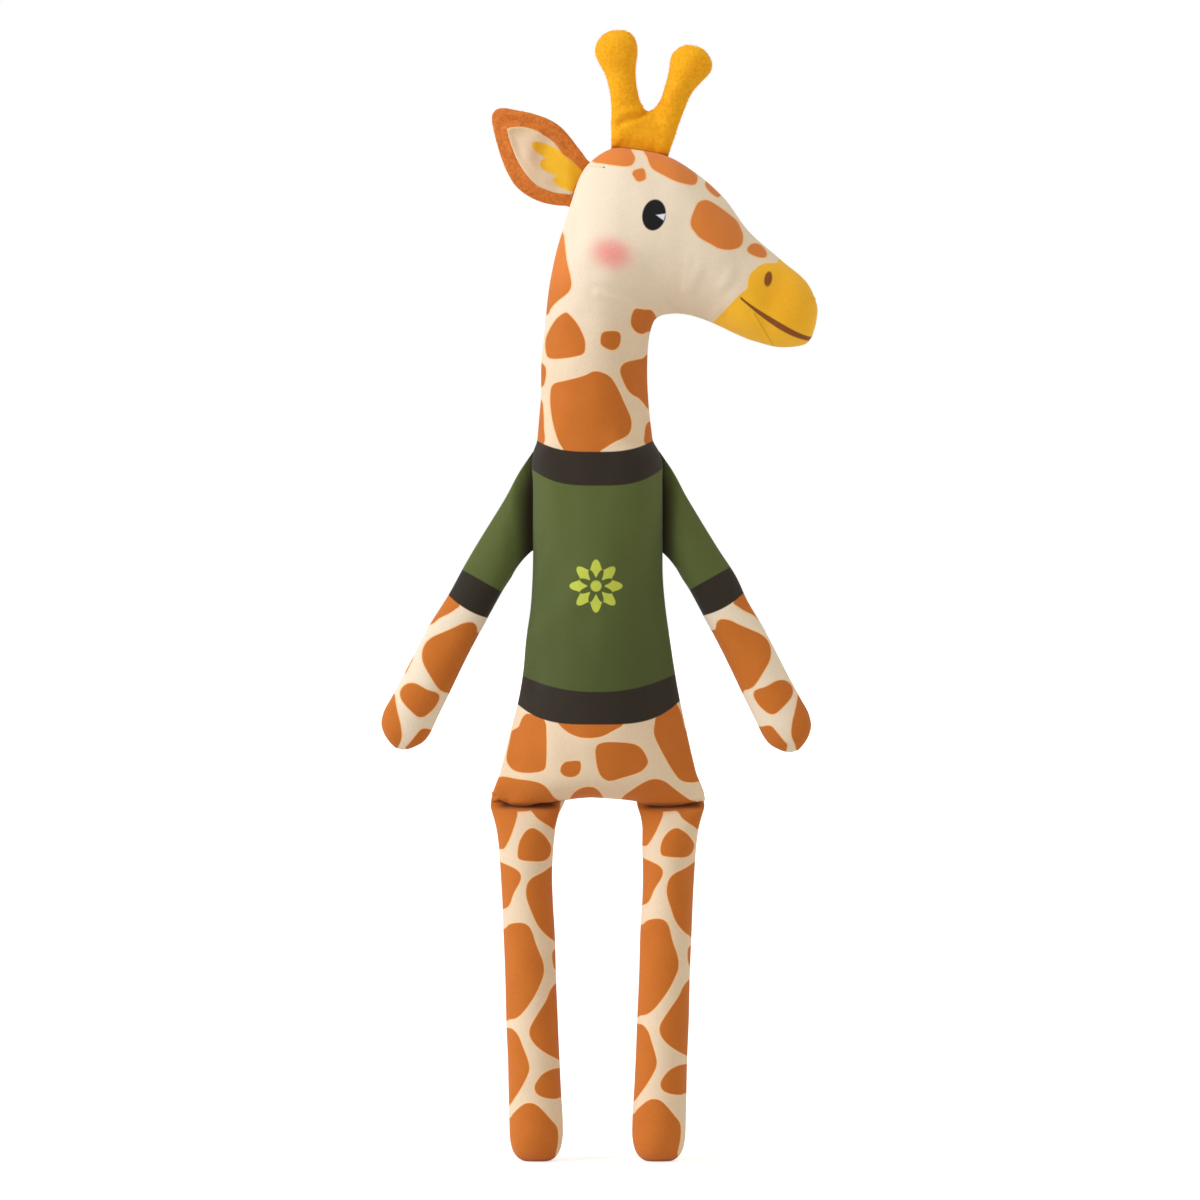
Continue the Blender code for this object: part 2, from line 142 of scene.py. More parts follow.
# The giraffe's right arm, at the photograph's left: outer edge, inner edge, half thickness
ARM = [
    (533.5, 451, 538, 549, 0),
    (529, 457.5, 534, 550, 0.9),
    (519, 472.5, 526.5, 556, 3.2),
    (506.5, 496, 517, 567.5, 6.8),
    (493, 518.5, 510.5, 578.5, 8.8),
    (478.5, 542, 504.6, 587.3, 9.3),
    (464.8, 565.5, 499, 596.8, 9.5),
    (449, 594.5, 487.2, 618.4, 9.5),
    (430, 625, 470, 650.5, 9.5),
    (403.8, 675, 446, 699.5, 9.5),
    (391.5, 698, 436, 720, 9.5),
    (383.5, 713, 429, 734.5, 9.0),
    (381.5, 724, 423.5, 741.5, 8.0),
    (384.6, 734.5, 416.2, 746, 6.0),
    (390, 742.5, 408, 749.2, 3.4),
    (394.5, 747.3, 402, 749.8, 0),
]
HORNS = [
    (613, 30.4, 623, 30.2, 0, 1),
    (604, 34.4, 630.8, 33.8, 0.58, 1),
    (597.4, 42.5, 636, 42, 0.86, 1),
    (595.2, 52.5, 637.3, 52, 1, 1),
    (598, 61, 636.3, 60.5, 0.98, 1),
    (604.3, 72.5, 635.4, 72, 0.84, 1),
    (609.2, 88, 636.6, 87, 0.74, 1),
    (611.2, 105, 639.8, 101, 0.68, 1.1),
    (611.5, 128, 642.6, 107, 0.60, 1.3),
    (611.5, 151, 645.6, 110.2, 0.50, 1.6),
    (639.5, 155, 649.2, 111.5, 0.44, 1.9),
    (667.3, 158, 652.8, 110.3, 0.50, 1.6),
    (674.6, 137, 656.2, 106.3, 0.60, 1.3),
    (683.8, 111, 660.6, 99.5, 0.68, 1.1),
    (691.8, 93, 664, 89.5, 0.74, 1),
    (702, 81, 668.6, 73.5, 0.86, 1),
    (710.2, 72, 670.5, 62, 1, 1),
    (712, 64.8, 672, 55.3, 1, 1),
    (709.5, 57.5, 677.3, 49.5, 0.88, 1),
    (703.5, 50, 683.5, 46, 0.55, 1),
    (696, 46.2, 688.5, 45.2, 0, 1),
]
HORN_DEPTH = 9.5
HORN_CORNERS = (9, 10, 11)
# Ear: lower edge, upper edge, share of its half thickness
EAR = [
    (572, 209, 594, 163, 0.0),
    (569, 207, 590, 162, 0.45),
    (556, 205.3, 582.5, 153.2, 0.85),
    (541, 202, 576, 145, 1.0),
    (528, 196, 569.5, 136.5, 1.0),
    (516.5, 187, 562, 128.2, 0.95),
    (508, 174, 554, 122.2, 0.9),
    (502, 160, 545.5, 118, 0.85),
    (496.8, 143, 537, 115, 0.75),
    (493.5, 130, 528, 112.4, 0.65),
    (491.8, 120, 514, 109.8, 0.45),
    (492.4, 114, 506, 108.2, 0.3),
    (495.5, 110, 500, 108.2, 0.0),
]
EAR_DEPTH = 3.5
LINING = [
    (507, 129.6, 508.4, 128.4),
    (508.6, 138, 520.5, 127.2),
    (511.8, 148, 532, 129.2),
    (517.3, 161.5, 546, 136.4),
    (527, 176.8, 556, 144),
    (537.5, 187.2, 563.5, 154),
    (553, 193.2, 573, 161.2),
    (573.2, 196, 583.5, 172.2),
]
TUFT = (
    (536.4, 141.5, 545.9, 144, 554.7, 147.7, 563, 153, 573.5, 162, 586, 172, 582, 184, 578, 193, 568, 190.4),
    (562, 188, 554.7, 183.6, 552.9, 180, 554.7, 177, 558.4, 175.2, 555, 174.6, 548.1, 172.6, 541.5, 168.2),
    (539.7, 163.8, 541.8, 160, 545, 158.6, 549.4, 158.6, 543.7, 156.8, 536.4, 152.1, 532.6, 147.3, 531.8, 143.6),
)

# Spots, each as one closed outline of x, y pairs
BODY_SPOTS = [
    (594, 162.3, 588, 156, 598, 145, 632, 139, 631, 149, 635, 157, 634, 162, 631, 165.5, 624, 166.4, 611.5, 165, 600, 163.2),
    (643, 150, 647, 157, 650, 165.5, 654, 170, 663, 175, 675, 181, 685.5, 184, 693, 185, 696.4, 183, 697.6, 177, 695, 172, 690, 160, 660, 140, 640, 140),
    (643.4, 167.8, 645, 170.6, 646, 177, 645, 179.5, 639.6, 181.8, 636.4, 180.8, 634, 177, 632, 173.8, 634, 170.6, 638.3, 169),
    (706, 181.4, 705.3, 185.5, 706.8, 188.7, 712, 194, 717, 197, 719.5, 196.4, 726, 190, 714, 176),
    (705, 200, 710.6, 201.5, 719.5, 207, 730, 215, 737, 221, 741, 229, 743, 235, 742.5, 243, 739, 247.4, 733.6, 249.3, 726, 249.7, 718, 248, 710.6, 244, 700, 238, 694, 231, 690.8, 226.3, 690.8, 220, 692.8, 213.6, 696, 206, 699, 202),
    (755.3, 243.3, 760.4, 244.8, 764.8, 249.3, 767, 254.4, 765.5, 257.2, 761.6, 257.8, 755.3, 256.3, 749, 253, 747, 250, 749, 246, 752, 244),
    (563.3, 233.8, 564.6, 242, 566.3, 257.3, 568.4, 267.6, 570.7, 277.8, 571.4, 284.8, 570, 290, 565.6, 295, 556.7, 302, 551, 308.4, 547.4, 314.7, 538, 312, 540, 270, 556, 230),
    (565.8, 312.4, 570, 315.3, 576, 322, 581, 330.6, 584.7, 339.8, 585.2, 348, 583.7, 353.6, 579, 355.6, 569, 357.7, 555.6, 359, 548.5, 357.7, 546, 353, 545.2, 345, 546, 337.8, 549.5, 329.6, 554.6, 321, 559.7, 315.8),
    (603.6, 332, 611.7, 331, 618, 331.8, 620.7, 335.7, 620.4, 341.8, 618.4, 347, 614.8, 349.8, 610.7, 350, 605.6, 348, 601, 344.4, 600.5, 339.8, 601.3, 335.2),
    (636.2, 308.7, 644.4, 309.7, 652, 310.7, 657, 320.5, 654, 330, 647, 332, 642.3, 334, 636.2, 332, 631.6, 326, 631, 319.4, 633.2, 311.7),
    (647, 354.6, 643.4, 358.2, 637.2, 359.7, 628, 361.7, 623, 364.3, 620.4, 368.4, 620.4, 373.5, 623, 380.6, 627, 388.8, 632, 394.4, 638.3, 398, 643.4, 403, 648, 408.7, 656, 412, 656, 350),
    (543.4, 364.3, 546, 369.4, 546, 375.5, 545, 381.6, 543, 386.2, 535, 388, 536, 362),
    (596.4, 371.4, 602.6, 372.7, 609.7, 376.5, 613.8, 381.6, 619, 390.8, 623, 400, 628, 411, 631, 419.4, 631.4, 426.5, 629.6, 432.7, 625, 437, 614.8, 442, 606.6, 447, 599.5, 452, 598, 458, 566, 458, 563.3, 449.5, 558.7, 441.8, 554.6, 429.6, 552, 418.4, 550.3, 405, 550.3, 394, 551.5, 386.7, 555.6, 383, 565.8, 380.6, 578, 377.6, 586, 375, 591.3, 372.2),
    (541.8, 400.5, 543.6, 412, 544, 427.6, 544, 443.4, 530, 450, 534, 400),
    (649.5, 421.4, 647, 423.5, 645.4, 427.6, 644.6, 434.7, 645.4, 444, 662, 446, 660, 418),
    (528, 713.6, 544, 719.7, 546.5, 736.5, 546, 764, 542, 771, 527, 773, 514.5, 770.6, 508, 764, 506.5, 756.6, 509.4, 742, 512, 731, 518.4, 727, 522, 718.4),
    (557.6, 722, 567, 731.7, 578.6, 737, 590, 738, 601.6, 736.5, 613, 730.8, 623.6, 724, 620, 715, 590, 708, 560, 714),
    (563, 763.2, 567, 761.6, 578, 760.6, 580.6, 762.6, 580.8, 769, 578.5, 774.3, 574, 776.8, 567.5, 777, 562.5, 774.5, 560.2, 770),
    (595.5, 749, 598.7, 744, 609, 742, 632, 743.6, 641.8, 749, 647.5, 759.5, 647, 765, 640, 772, 622.6, 777.7, 610, 781, 602.5, 777.7, 598, 770, 596, 759.5),
    (656.7, 716.4, 667, 711, 675.5, 704, 679, 708, 682.3, 716.5, 685.8, 730, 699, 745, 706, 778, 697.8, 781.5, 689.6, 782.4, 680, 779.6, 670.5, 767, 659, 746, 654, 733.7, 654.8, 723),
    (499, 777, 517.4, 779, 536.5, 782, 546, 787, 553.7, 797, 559.5, 801.6, 562, 812, 485, 812, 488, 790),
    (569.6, 799.3, 574.8, 792, 582.4, 787.8, 590, 786.8, 596.8, 789, 603, 797.4, 603, 808, 569, 808),
    (621.7, 798.7, 632, 790, 645.6, 781.5, 655, 779, 664.7, 781.5, 676, 790, 689.6, 799.7, 697, 802, 697, 812, 622, 812),
]
LEG_SPOTS = [
    (480, 796, 514, 796, 514.3, 806, 517, 812.5, 517, 817, 513.6, 828.4, 508.8, 840.8, 504, 848.5, 500, 849, 490, 849),
    (532.5, 796, 532.3, 806, 533, 812, 536, 817, 542, 821.7, 550, 826.5, 553.8, 829.3, 556.8, 820, 559.4, 810, 560.3, 803, 560.3, 796),
    (480, 790, 560.3, 790, 560.3, 801, 545, 806, 533, 809.8, 528, 811, 520, 811.6, 513.5, 811, 505, 806, 480, 803),
    (532, 828, 536.5, 829.3, 544, 835, 550, 843.7, 551.3, 849.4, 549, 857, 543, 861, 532.7, 861.3, 521, 860, 517.8, 857, 518, 848.5, 520.3, 839.8, 526, 831),
    (500.8, 862, 509.7, 866, 517.6, 870.3, 521, 875.8, 519.5, 882.7, 513.6, 893.6, 509.7, 904.5, 504.7, 908.4, 494, 908, 494, 858),
    (551.6, 866, 543.3, 872, 532.4, 877.8, 527.5, 883.7, 526, 892.6, 527.5, 901.5, 531.4, 911.4, 537.3, 924.3, 545.2, 934, 553.2, 940, 562, 944, 562, 860),
    (504, 929, 509.7, 924.3, 518.6, 922.7, 526.5, 924.3, 531.8, 931, 536.3, 945, 542.3, 959.8, 544, 969.7, 542.3, 978.6, 535.4, 994.4, 525.5, 1009.3, 517.6, 1017.2, 509.7, 1019.4, 496, 1018, 494, 932),
    (553.5, 950.6, 552.2, 956, 552.8, 962.8, 554.7, 969, 562, 972, 562, 946),
    (555.5, 983.6, 550.2, 990.5, 546.2, 1000.4, 538.3, 1013.2, 531.4, 1025, 529.4, 1032, 531, 1039, 537.3, 1046.8, 547.2, 1053.8, 558.7, 1059.7, 568, 1064, 566, 976),
    (507, 1027.7, 512.6, 1029, 518.6, 1036, 522.5, 1045.8, 527.5, 1058.7, 529.4, 1067.6, 527.5, 1075.5, 521.5, 1087.4, 514.6, 1098.2, 509.7, 1104.8, 498, 1112, 496, 1026),
    (559, 1068, 551.2, 1069.6, 542.3, 1074.5, 536.3, 1082.4, 534.6, 1088.4, 537.3, 1094.3, 545.2, 1097.8, 555, 1098.8, 560, 1097.2, 570, 1094, 568, 1066),
    (509.7, 1118, 513.6, 1113, 522.5, 1105, 529.4, 1103, 536.3, 1104.8, 543.3, 1111, 552.2, 1121, 557, 1127, 558.3, 1134.8, 557.7, 1144.7, 555, 1156.6, 552, 1170, 500, 1170, 498, 1122),
]
ARM_SPOTS = [
    (449, 595, 459.8, 604.5, 455.2, 609.4, 448.7, 613.7, 439, 618.6, 432.5, 623.8, 424, 624, 440, 588),
    (469.3, 622.2, 474.2, 623.2, 477, 627.3, 477.8, 632.7, 486, 640, 456, 697, 448.7, 693.2, 444.4, 692.3, 439, 689, 433.5, 681.5, 427, 670.6, 423.2, 663, 422, 655.5, 423.2, 648, 427, 641.4, 433.5, 636.5, 442.2, 632.7, 455.2, 627, 461.7, 623.8),
    (413, 683, 418.4, 684.7, 427, 689.6, 435.7, 692.3, 439.2, 695, 439, 700, 434.6, 707.5, 428, 714, 422.7, 717, 417.8, 716.7, 413, 713, 405.4, 705.3, 401, 698.8, 400, 692.3, 402.6, 687, 407.5, 683.6),
    (394.5, 694.5, 395.6, 702, 397.8, 713, 400.5, 723.8, 401.8, 734.6, 400.8, 741, 398.3, 746.5, 392, 760, 372, 745, 372, 715, 388, 690),
    (430.8, 729.7, 427, 728.6, 421.6, 729.2, 417.8, 733, 413, 739, 408, 745, 405.7, 748.5, 412, 758, 440, 745, 440, 730),
    (413, 657.6, 410.8, 663, 407.5, 670, 406, 672.8, 400, 672, 408, 655),
]
MUZZLE = (
    (779.5, 258.5, 778.2, 262, 774.4, 263, 766.7, 263.3, 760.4, 265.2, 755.3, 269, 750.8, 273.5, 748.2, 279.3),
    (747.6, 285.6, 746.3, 289.5, 741.2, 293.3, 734.8, 299.7, 723.4, 311.8, 712.5, 322.6, 700, 336, 720, 365),
    (840, 365, 840, 270, 800, 250),
)
MOUTH = (
    (741.2, 298.1, 2.3),
    (746.3, 302.9, 2.6),
    (754, 309, 3.4),
    (762.9, 315, 4.5),
    (774.4, 322, 5.6),
    (784.6, 329, 6.0),
    (793.5, 334.1, 5.1),
    (802.4, 336.7, 4.3),
    (810.1, 338.3, 3.8),
    (818, 339.5, 3.4),
)
# The body's lower edge between and over the legs
LOWER_EDGE = (
    (491, 801, 500, 800.6, 507, 802.4, 513, 804.1, 519.6, 804.7, 526, 804.5, 531.6, 803.4, 536, 802, 542, 801),
    (550, 800.6, 559, 801, 566, 800.2, 575, 798.7, 590, 797.4, 604, 798.2, 623, 799.6, 637, 801.4),
    (651, 803.4, 667, 805, 680, 804, 690, 801.5, 704.5, 801.5),
)
# Soft folds in the cloth: width in pixels, depth in millimetres, and the line of each
BODY_FOLDS = [
    (5, 0.34, (699, 270, 694, 279, 690, 288)),
    (5, 0.34, (731, 273, 728, 279, 723, 286)),
    (3, 0.30, (663, 299, 663.5, 309)),
    (3, 0.14, (689.4, 257, 684, 291)),
    (4, 0.20, (717, 312, 728, 301, 738, 291)),
    (3.5, 0.80, (598, 293, 617, 299, 634, 307)),
    (1.8, 0.80, (491, 793, 498, 793.6, 501, 795.5, 504, 799)),
    (1.8, 0.80, (490, 801.5, 494.5, 799.5, 498, 797.8)),
    (1.4, 0.50, (752.7, 311, 756.5, 318, 761.6, 329.6, 768, 339.8, 773, 344.7)),
    (1.4, 0.70, (804.6, 298, 809, 299, 814, 299)),
]
HORN_FOLDS = [
    (3.4, 1.5, (644.5, 112.5, 640, 114.8, 635.7, 117, 630.6, 118.8, 624.5, 120.4, 620.5, 123.4)),
    (4.5, 0.8, (618, 146, 624, 143, 632, 142.5, 642, 145, 652, 149)),
]
# The groove down the middle of the ear, which also gets one along each edge of its lining
EAR_FOLD = (7, 1.1, (538, 136, 530.5, 148, 529.5, 159, 535, 171, 546, 180))


def pairs(*rows):
    """The points of one or more flat rows of x, y."""
    return np.array([value for row in rows for value in row], float).reshape(-1, 2)


def px(x, y):
    """The place in the seam plane of a pixel of the photograph, in metres."""
    return (x - MIDDLE) * SCALE, (FLOOR - y) * SCALE


def seen(points):
    """The pixels where the camera sees the points, or their mirror images in front of the seam plane."""
    near = CAMERA[1] / (CAMERA[1] - np.abs(points[..., 1]))
    x = 600 + (points[..., 0] - CAMERA[0]) / SCALE * near
    y = 600 - (points[..., 2] - CAMERA[2]) / SCALE * near
    return np.stack([x, y], -1)


def keyed(rows):
    """Rungs in metres: start x and z, end x and z, half thickness and pinch."""
    keys = []
    for x0, y0, x1, y1, depth, pinch in rows:
        keys.append((*px(x0, y0), *px(x1, y1), depth / 1000, pinch))
    return np.array(keys)


def smoothed(keys, corners=()):
    """Rows about ROW_LENGTH apart on the smooth curves through the rungs, turning sharply at corners."""
    keys = keys.copy()
    keys[:, 4] **= 2
    moves = np.diff(keys, axis=0)
    lengths = np.maximum(np.hypot(moves[:, 0], moves[:, 1]), np.hypot(moves[:, 2], moves[:, 3]))
    rates = moves / lengths[:, None]
    rows = []
    for i, length in enumerate(lengths):
        starts = rates[i] if i == 0 or i in corners else (
            (rates[i - 1] * length + rates[i] * lengths[i - 1]) / (length + lengths[i - 1]))
        ends = rates[i] if i == len(rates) - 1 or i + 1 in corners else (
            (rates[i] * lengths[i + 1] + rates[i + 1] * length) / (length + lengths[i + 1]))
        count = max(1, math.ceil(length / ROW_LENGTH))
        for step in range(count):
            t = step / count
            rows.append(
                keys[i] * (2 * t**3 - 3 * t**2 + 1) + keys[i + 1] * (3 * t**2 - 2 * t**3)
                + (starts * (t**3 - 2 * t**2 + t) + ends * (t**3 - t**2)) * length
            )
    rows = np.array(rows + [keys[-1]])
    rows[:, 4] = np.sqrt(np.maximum(rows[:, 4], 0))
    return rows


def puffed(rows, across):
    """The front and back grids of places over the rows."""
    angles = np.linspace(0, math.pi, across + 1)
    share = ((1 - np.cos(angles)) / 2)[None, :]
    grids = []
    for side in (-1, 1):
        x = rows[:, 0:1] + (rows[:, 2:3] - rows[:, 0:1]) * share
        z = rows[:, 1:2] + (rows[:, 3:4] - rows[:, 1:2]) * share
        y = side * rows[:, 4:5] * np.maximum(np.sin(angles), 0)[None, :] ** rows[:, 5:6]
        grids.append(np.stack([x, y, z], -1))
    return grids


def halved(grid, axis):
    """The grid with smooth middles added along one axis."""
    grid = np.moveaxis(grid, axis, 0)
    before = np.concatenate([[3 * grid[0] - 3 * grid[1] + grid[2]], grid[:-2]])
    after = np.concatenate([grid[2:], [3 * grid[-1] - 3 * grid[-2] + grid[-3]]])
    middles = (9 * (grid[:-1] + grid[1:]) - before - after) / 16
    out = np.empty((len(grid) * 2 - 1, *grid.shape[1:]))
    out[::2], out[1::2] = grid, middles
    return np.moveaxis(out, 0, axis)


def normals(grid, side):
    """Outward normals of a front (-1) or back (1) grid."""
    along, over = np.gradient(grid, axis=0), np.gradient(grid, axis=1)
    found = np.cross(over, along) * side
    size = np.linalg.norm(found, axis=-1, keepdims=True)
    return found / np.maximum(size, 1e-12)


def numbering(rows, columns):
    """Vertex numbers of the front and back grids, which share their seams and both end rows."""
    front = np.arange(rows * columns).reshape(rows, columns)
    back = front.copy()
    inner = (rows - 2) * (columns - 2)
    back[1:-1, 1:-1] = rows * columns + np.arange(inner).reshape(rows - 2, columns - 2)
    return front, back


def quads(front, back):
    """Faces of both grids, facing out."""
    def cells(grid, turned):
        corners = [grid[:-1, :-1], grid[:-1, 1:], grid[1:, 1:], grid[1:, :-1]]
        if turned:
            corners.reverse()
        return np.stack(corners, -1).reshape(-1, 4)
    return np.concatenate([cells(front, False), cells(back, True)])


def mesh_object(name, places, faces):
    data = bpy.data.meshes.new(name)
    data.from_pydata(places.tolist(), [], faces.tolist())
    if signed_volume(places, faces) < 0:
        data.flip_normals()
    data.shade_smooth()
    made = bpy.data.objects.new(name, data)
    bpy.context.scene.collection.objects.link(made)
    return made


def signed_volume(places, faces):
    a, b, c, d = (places[faces[:, i]] for i in range(4))
    first, second = np.einsum("ij,ij", a, np.cross(b, c)), np.einsum("ij,ij", a, np.cross(c, d))
    return (first + second) / 6


def gathered(grids):
    """The shared vertices of a front and a back grid, and their numbering."""
    front, back = numbering(*grids[0].shape[:2])
    places = np.empty((back.max() + 1, 3))
    places[back] = grids[1]
    places[front] = grids[0]
    return places, front, back


def softened(field, times):
    """The grid's values with their sharp changes evened out, but for its rim."""
    field = field.copy()
    for _ in range(times):
        field[1:-1, 1:-1] = (field[:-2, 1:-1] + 2 * field[1:-1, 1:-1] + field[2:, 1:-1]) / 4
        field[1:-1, 1:-1] = (field[1:-1, :-2] + 2 * field[1:-1, 1:-1] + field[1:-1, 2:]) / 4
    return field


def relaxed(name, grids, pressure, extra, limit):
    """The grids after the cloth has filled out from its pinned seams, moved no further than the limit."""
    places, front, back = gathered(grids)
    start = places.copy()
    start[:, 1] *= 0.96
    cloth = mesh_object(name, start, quads(front, back))
    held = set(front[:, 0]) | set(front[:, -1]) | set(front[0]) | set(front[-1])
    group = cloth.vertex_groups.new(name="sewn")
    group.add([int(i) for i in held], 1.0, "REPLACE")
    made = cloth.modifiers.new("filling", "CLOTH")
    settings = made.settings
    settings.quality = 6
    settings.mass = 0.15
    settings.use_pressure = True
    settings.uniform_pressure_force = pressure
    settings.shrink_min = -extra
    settings.tension_stiffness = settings.compression_stiffness = 20
    settings.bending_stiffness = 0.4
    settings.vertex_group_mass = group.name
    settings.effector_weights.gravity = 0
    made.collision_settings.use_collision = False
    scene = bpy.context.scene
    made.point_cache.frame_start, made.point_cache.frame_end = 1, 20
    for number in range(1, 21):
        scene.frame_set(number)
    shown = cloth.evaluated_get(bpy.context.evaluated_depsgraph_get())
    settled = np.array([v.co for v in shown.data.vertices])
    scene.frame_set(1)
    bpy.data.objects.remove(cloth)
    moved = settled - places
    reach = np.linalg.norm(moved, axis=1, keepdims=True)
    moved *= np.minimum(1, limit / np.maximum(reach, 1e-9))
    columns = grids[0].shape[1]
    share = (1 - np.cos(np.linspace(0, math.pi, columns))) / 2
    free = np.clip(np.minimum(share, 1 - share) / 0.08, 0, 1)[None, :, None]
    return [grid + softened(moved[numbers], 3) * free for grid, numbers in zip(grids, (front, back))]


def line_distance(points, line):
    """Each point's distance from an open line."""
    best = np.full(len(points), 1e9)
    for a, b in zip(line, line[1:]):
        span = b - a
        share = np.clip(((points - a) @ span) / (span @ span), 0, 1)
        best = np.minimum(best, np.linalg.norm(points - a - share[:, None] * span, axis=1))
    return best


def rounded(outline):
    """A closed outline with its corners rounded."""
    before, after = np.roll(outline, 1, 0), np.roll(outline, -1, 0)
    following = np.roll(outline, -2, 0)
    steps = np.arange(5)[None, :, None] / 5
    a, b, c, d = (part[:, None, :] for part in (before, outline, after, following))
    curve = b + (c - a + (2 * a - 5 * b + 4 * c - d + (3 * b - a - 3 * c + d) * steps) * steps) * steps / 2
    return curve.reshape(-1, 2)


def outline_distance(points, outlines, reach=14):
    """Each point's distance in pixels from the nearest outline, less than 0 inside one."""
    found = np.full(len(points), float(reach))
    for flat in outlines:
        outline = rounded(flat)
        low, high = outline.min(0) - reach, outline.max(0) + reach
        near = np.flatnonzero(((points > low) & (points < high)).all(1))
        if not len(near):
            continue
        inside = np.zeros(len(near), bool)
        x, y = points[near].T
        for (ax, ay), (bx, by) in zip(outline, np.roll(outline, -1, 0)):
            crosses = (ay > y) != (by > y)
            inside ^= crosses & (x < (bx - ax) * (y - ay) / (by - ay + 1e-12) + ax)
        away = line_distance(points[near], np.concatenate([outline, outline[:1]]))
        found[near] = np.minimum(found[near], np.where(inside, -away, away))
    return np.clip(found, -reach, reach)


def seam_detail(grids, seed, swell=0.0004, pucker=0.0002, lumps=0.00025):
    """Swells the cloth beside the seams, puckers it there and lets the filling show through a little."""
    rng = np.random.default_rng(seed)
    waves = rng.normal(0, 1, (8, 3)) * 2 * math.pi / 0.05
    shifts = rng.uniform(0, 2 * math.pi, 8)
    made = []
    for side, grid in zip((-1, 1), grids):
        outward = normals(grid, side)
        widths = np.linalg.norm(np.diff(grid, axis=1), axis=-1)
        from_start = np.concatenate([np.zeros((len(grid), 1)), np.cumsum(widths, 1)], 1)
        from_end = from_start[:, -1:] - from_start
        across = grid[:, -1] - grid[:, 0]
        across /= np.maximum(np.linalg.norm(across, axis=-1, keepdims=True), 1e-9)
        moved = grid.copy()
        for away, edge, inward in ((from_start, grid[:, 0], across), (from_end, grid[:, -1], -across)):
            run = np.concatenate([[0], np.cumsum(np.linalg.norm(np.diff(edge, axis=0), axis=-1))])
            phase = run * 2 * math.pi / 0.0062 + 1.7 * np.sin(run * 2 * math.pi / 0.031 + seed)
            ripple = np.sin(phase) * (0.6 + 0.4 * np.sin(run * 2 * math.pi / 0.047 + 2 * seed))
            fuller = swell * (np.exp(-away / 0.008) - np.exp(-((away / 0.0012) ** 2)))
            moved -= inward[:, None] * fuller[..., None]
            decay = np.exp(-away / 0.005) * (1 - np.exp(-((away / 0.0016) ** 2)))
            moved[..., 1] += outward[..., 1] * pucker * ripple[:, None] * decay
        inner = np.minimum(from_start, from_end) / 0.008
        field = np.sin(grid @ waves.T + shifts).sum(-1) / 4
        moved += outward * (lumps * field * np.clip(inner, 0, 1))[..., None]
        moved[[0, -1]] = grid[[0, -1]]
        made.append(moved)
    made[1][:, [0, -1]] = made[0][:, [0, -1]]
    return made


def folded(grids, folds, behind=0.0):
    """Presses soft folds into the front, and a share of their depth into the back."""
    made = []
    for side, share, grid in zip((-1, 1), (1, behind), grids):
        moved = grid.copy()
        if share:
            outward = normals(grid, side)
            where = seen(grid).reshape(-1, 2)
            for width, depth, flat in folds:
                away = line_distance(where, pairs(flat)).reshape(grid.shape[:2])
                press = np.exp(-((away / width) ** 2)) - 0.35 * np.exp(-(((away - 2 * width) / width) ** 2))
                moved[:, 1:-1] -= (outward * (share * depth / 1000 * press)[..., None])[:, 1:-1]
        made.append(moved)
    return made


def piece(name, grids, material, outlines, shift=None):
    """One stuffed piece, with where its print lies stored on its vertices."""
    places, front, back = gathered(grids)
    places[:, 2] = np.maximum(places[:, 2], 0)
    made = mesh_object(name, places, quads(front, back))
    where = seen(places)
    if shift:
        where = shift(where)
    store(made, "print", np.concatenate([where, np.zeros((len(where), 1))], 1))
    for title, lines in outlines.items():
        store(made, title, outline_distance(where, lines))
    weave = np.empty((len(places), 3))
    for grid, numbers in ((grids[1], back), (grids[0], front)):
        over = np.linalg.norm(np.diff(grid, axis=1), axis=-1)
        along = np.linalg.norm(np.diff(grid, axis=0), axis=-1).mean(1)
        u = np.concatenate([np.zeros((len(grid), 1)), np.cumsum(over, 1)], 1)
        v = np.concatenate([[0], np.cumsum(along)])[:, None] + np.zeros_like(u)
        weave[numbers] = np.stack([u - u[:, -1:] / 2, v, np.zeros_like(u)], -1)
    store(made, "weave", weave)
    made.data.materials.append(material)
    return made


def store(made, title, values):
    kind, field = ("FLOAT", "value") if values.ndim == 1 else ("FLOAT_VECTOR", "vector")
    made.data.attributes.new(title, kind, "POINT").data.foreach_set(field, values.astype(np.float32).ravel())


# Materials


def srgb(red, green, blue):
    def linear(value):
        value /= 255
        return value / 12.92 if value <= 0.04045 else ((value + 0.055) / 1.055) ** 2.4
    return (linear(red), linear(green), linear(blue), 1.0)


CREAM = srgb(238, 222, 196)
WARM_CREAM = srgb(232, 209, 177)
HALO = srgb(252, 206, 146)
GREEN = srgb(87, 98, 49)
SHADED_GREEN = srgb(76, 86, 43)
CHARCOAL = srgb(46, 39, 30)
# Painted shade for cloth lying deep in folds and creases
FOLD_SHADE = srgb(30, 14, 6)
MUSTARD = srgb(255, 194, 46)
LIME = srgb(192, 202, 78)
BLUSH = srgb(240, 150, 140)
EYE = srgb(20, 19, 18)
GLINT = srgb(228, 232, 240)
BROWN = srgb(142, 80, 34)
HORN = srgb(255, 188, 36)
DEEP_HORN = srgb(240, 160, 20)
HORN_GLOW = srgb(255, 200, 60)
RUST = srgb(228, 136, 62)
LINING_CREAM = srgb(234, 208, 174)
TUFT_YELLOW = srgb(255, 196, 48)


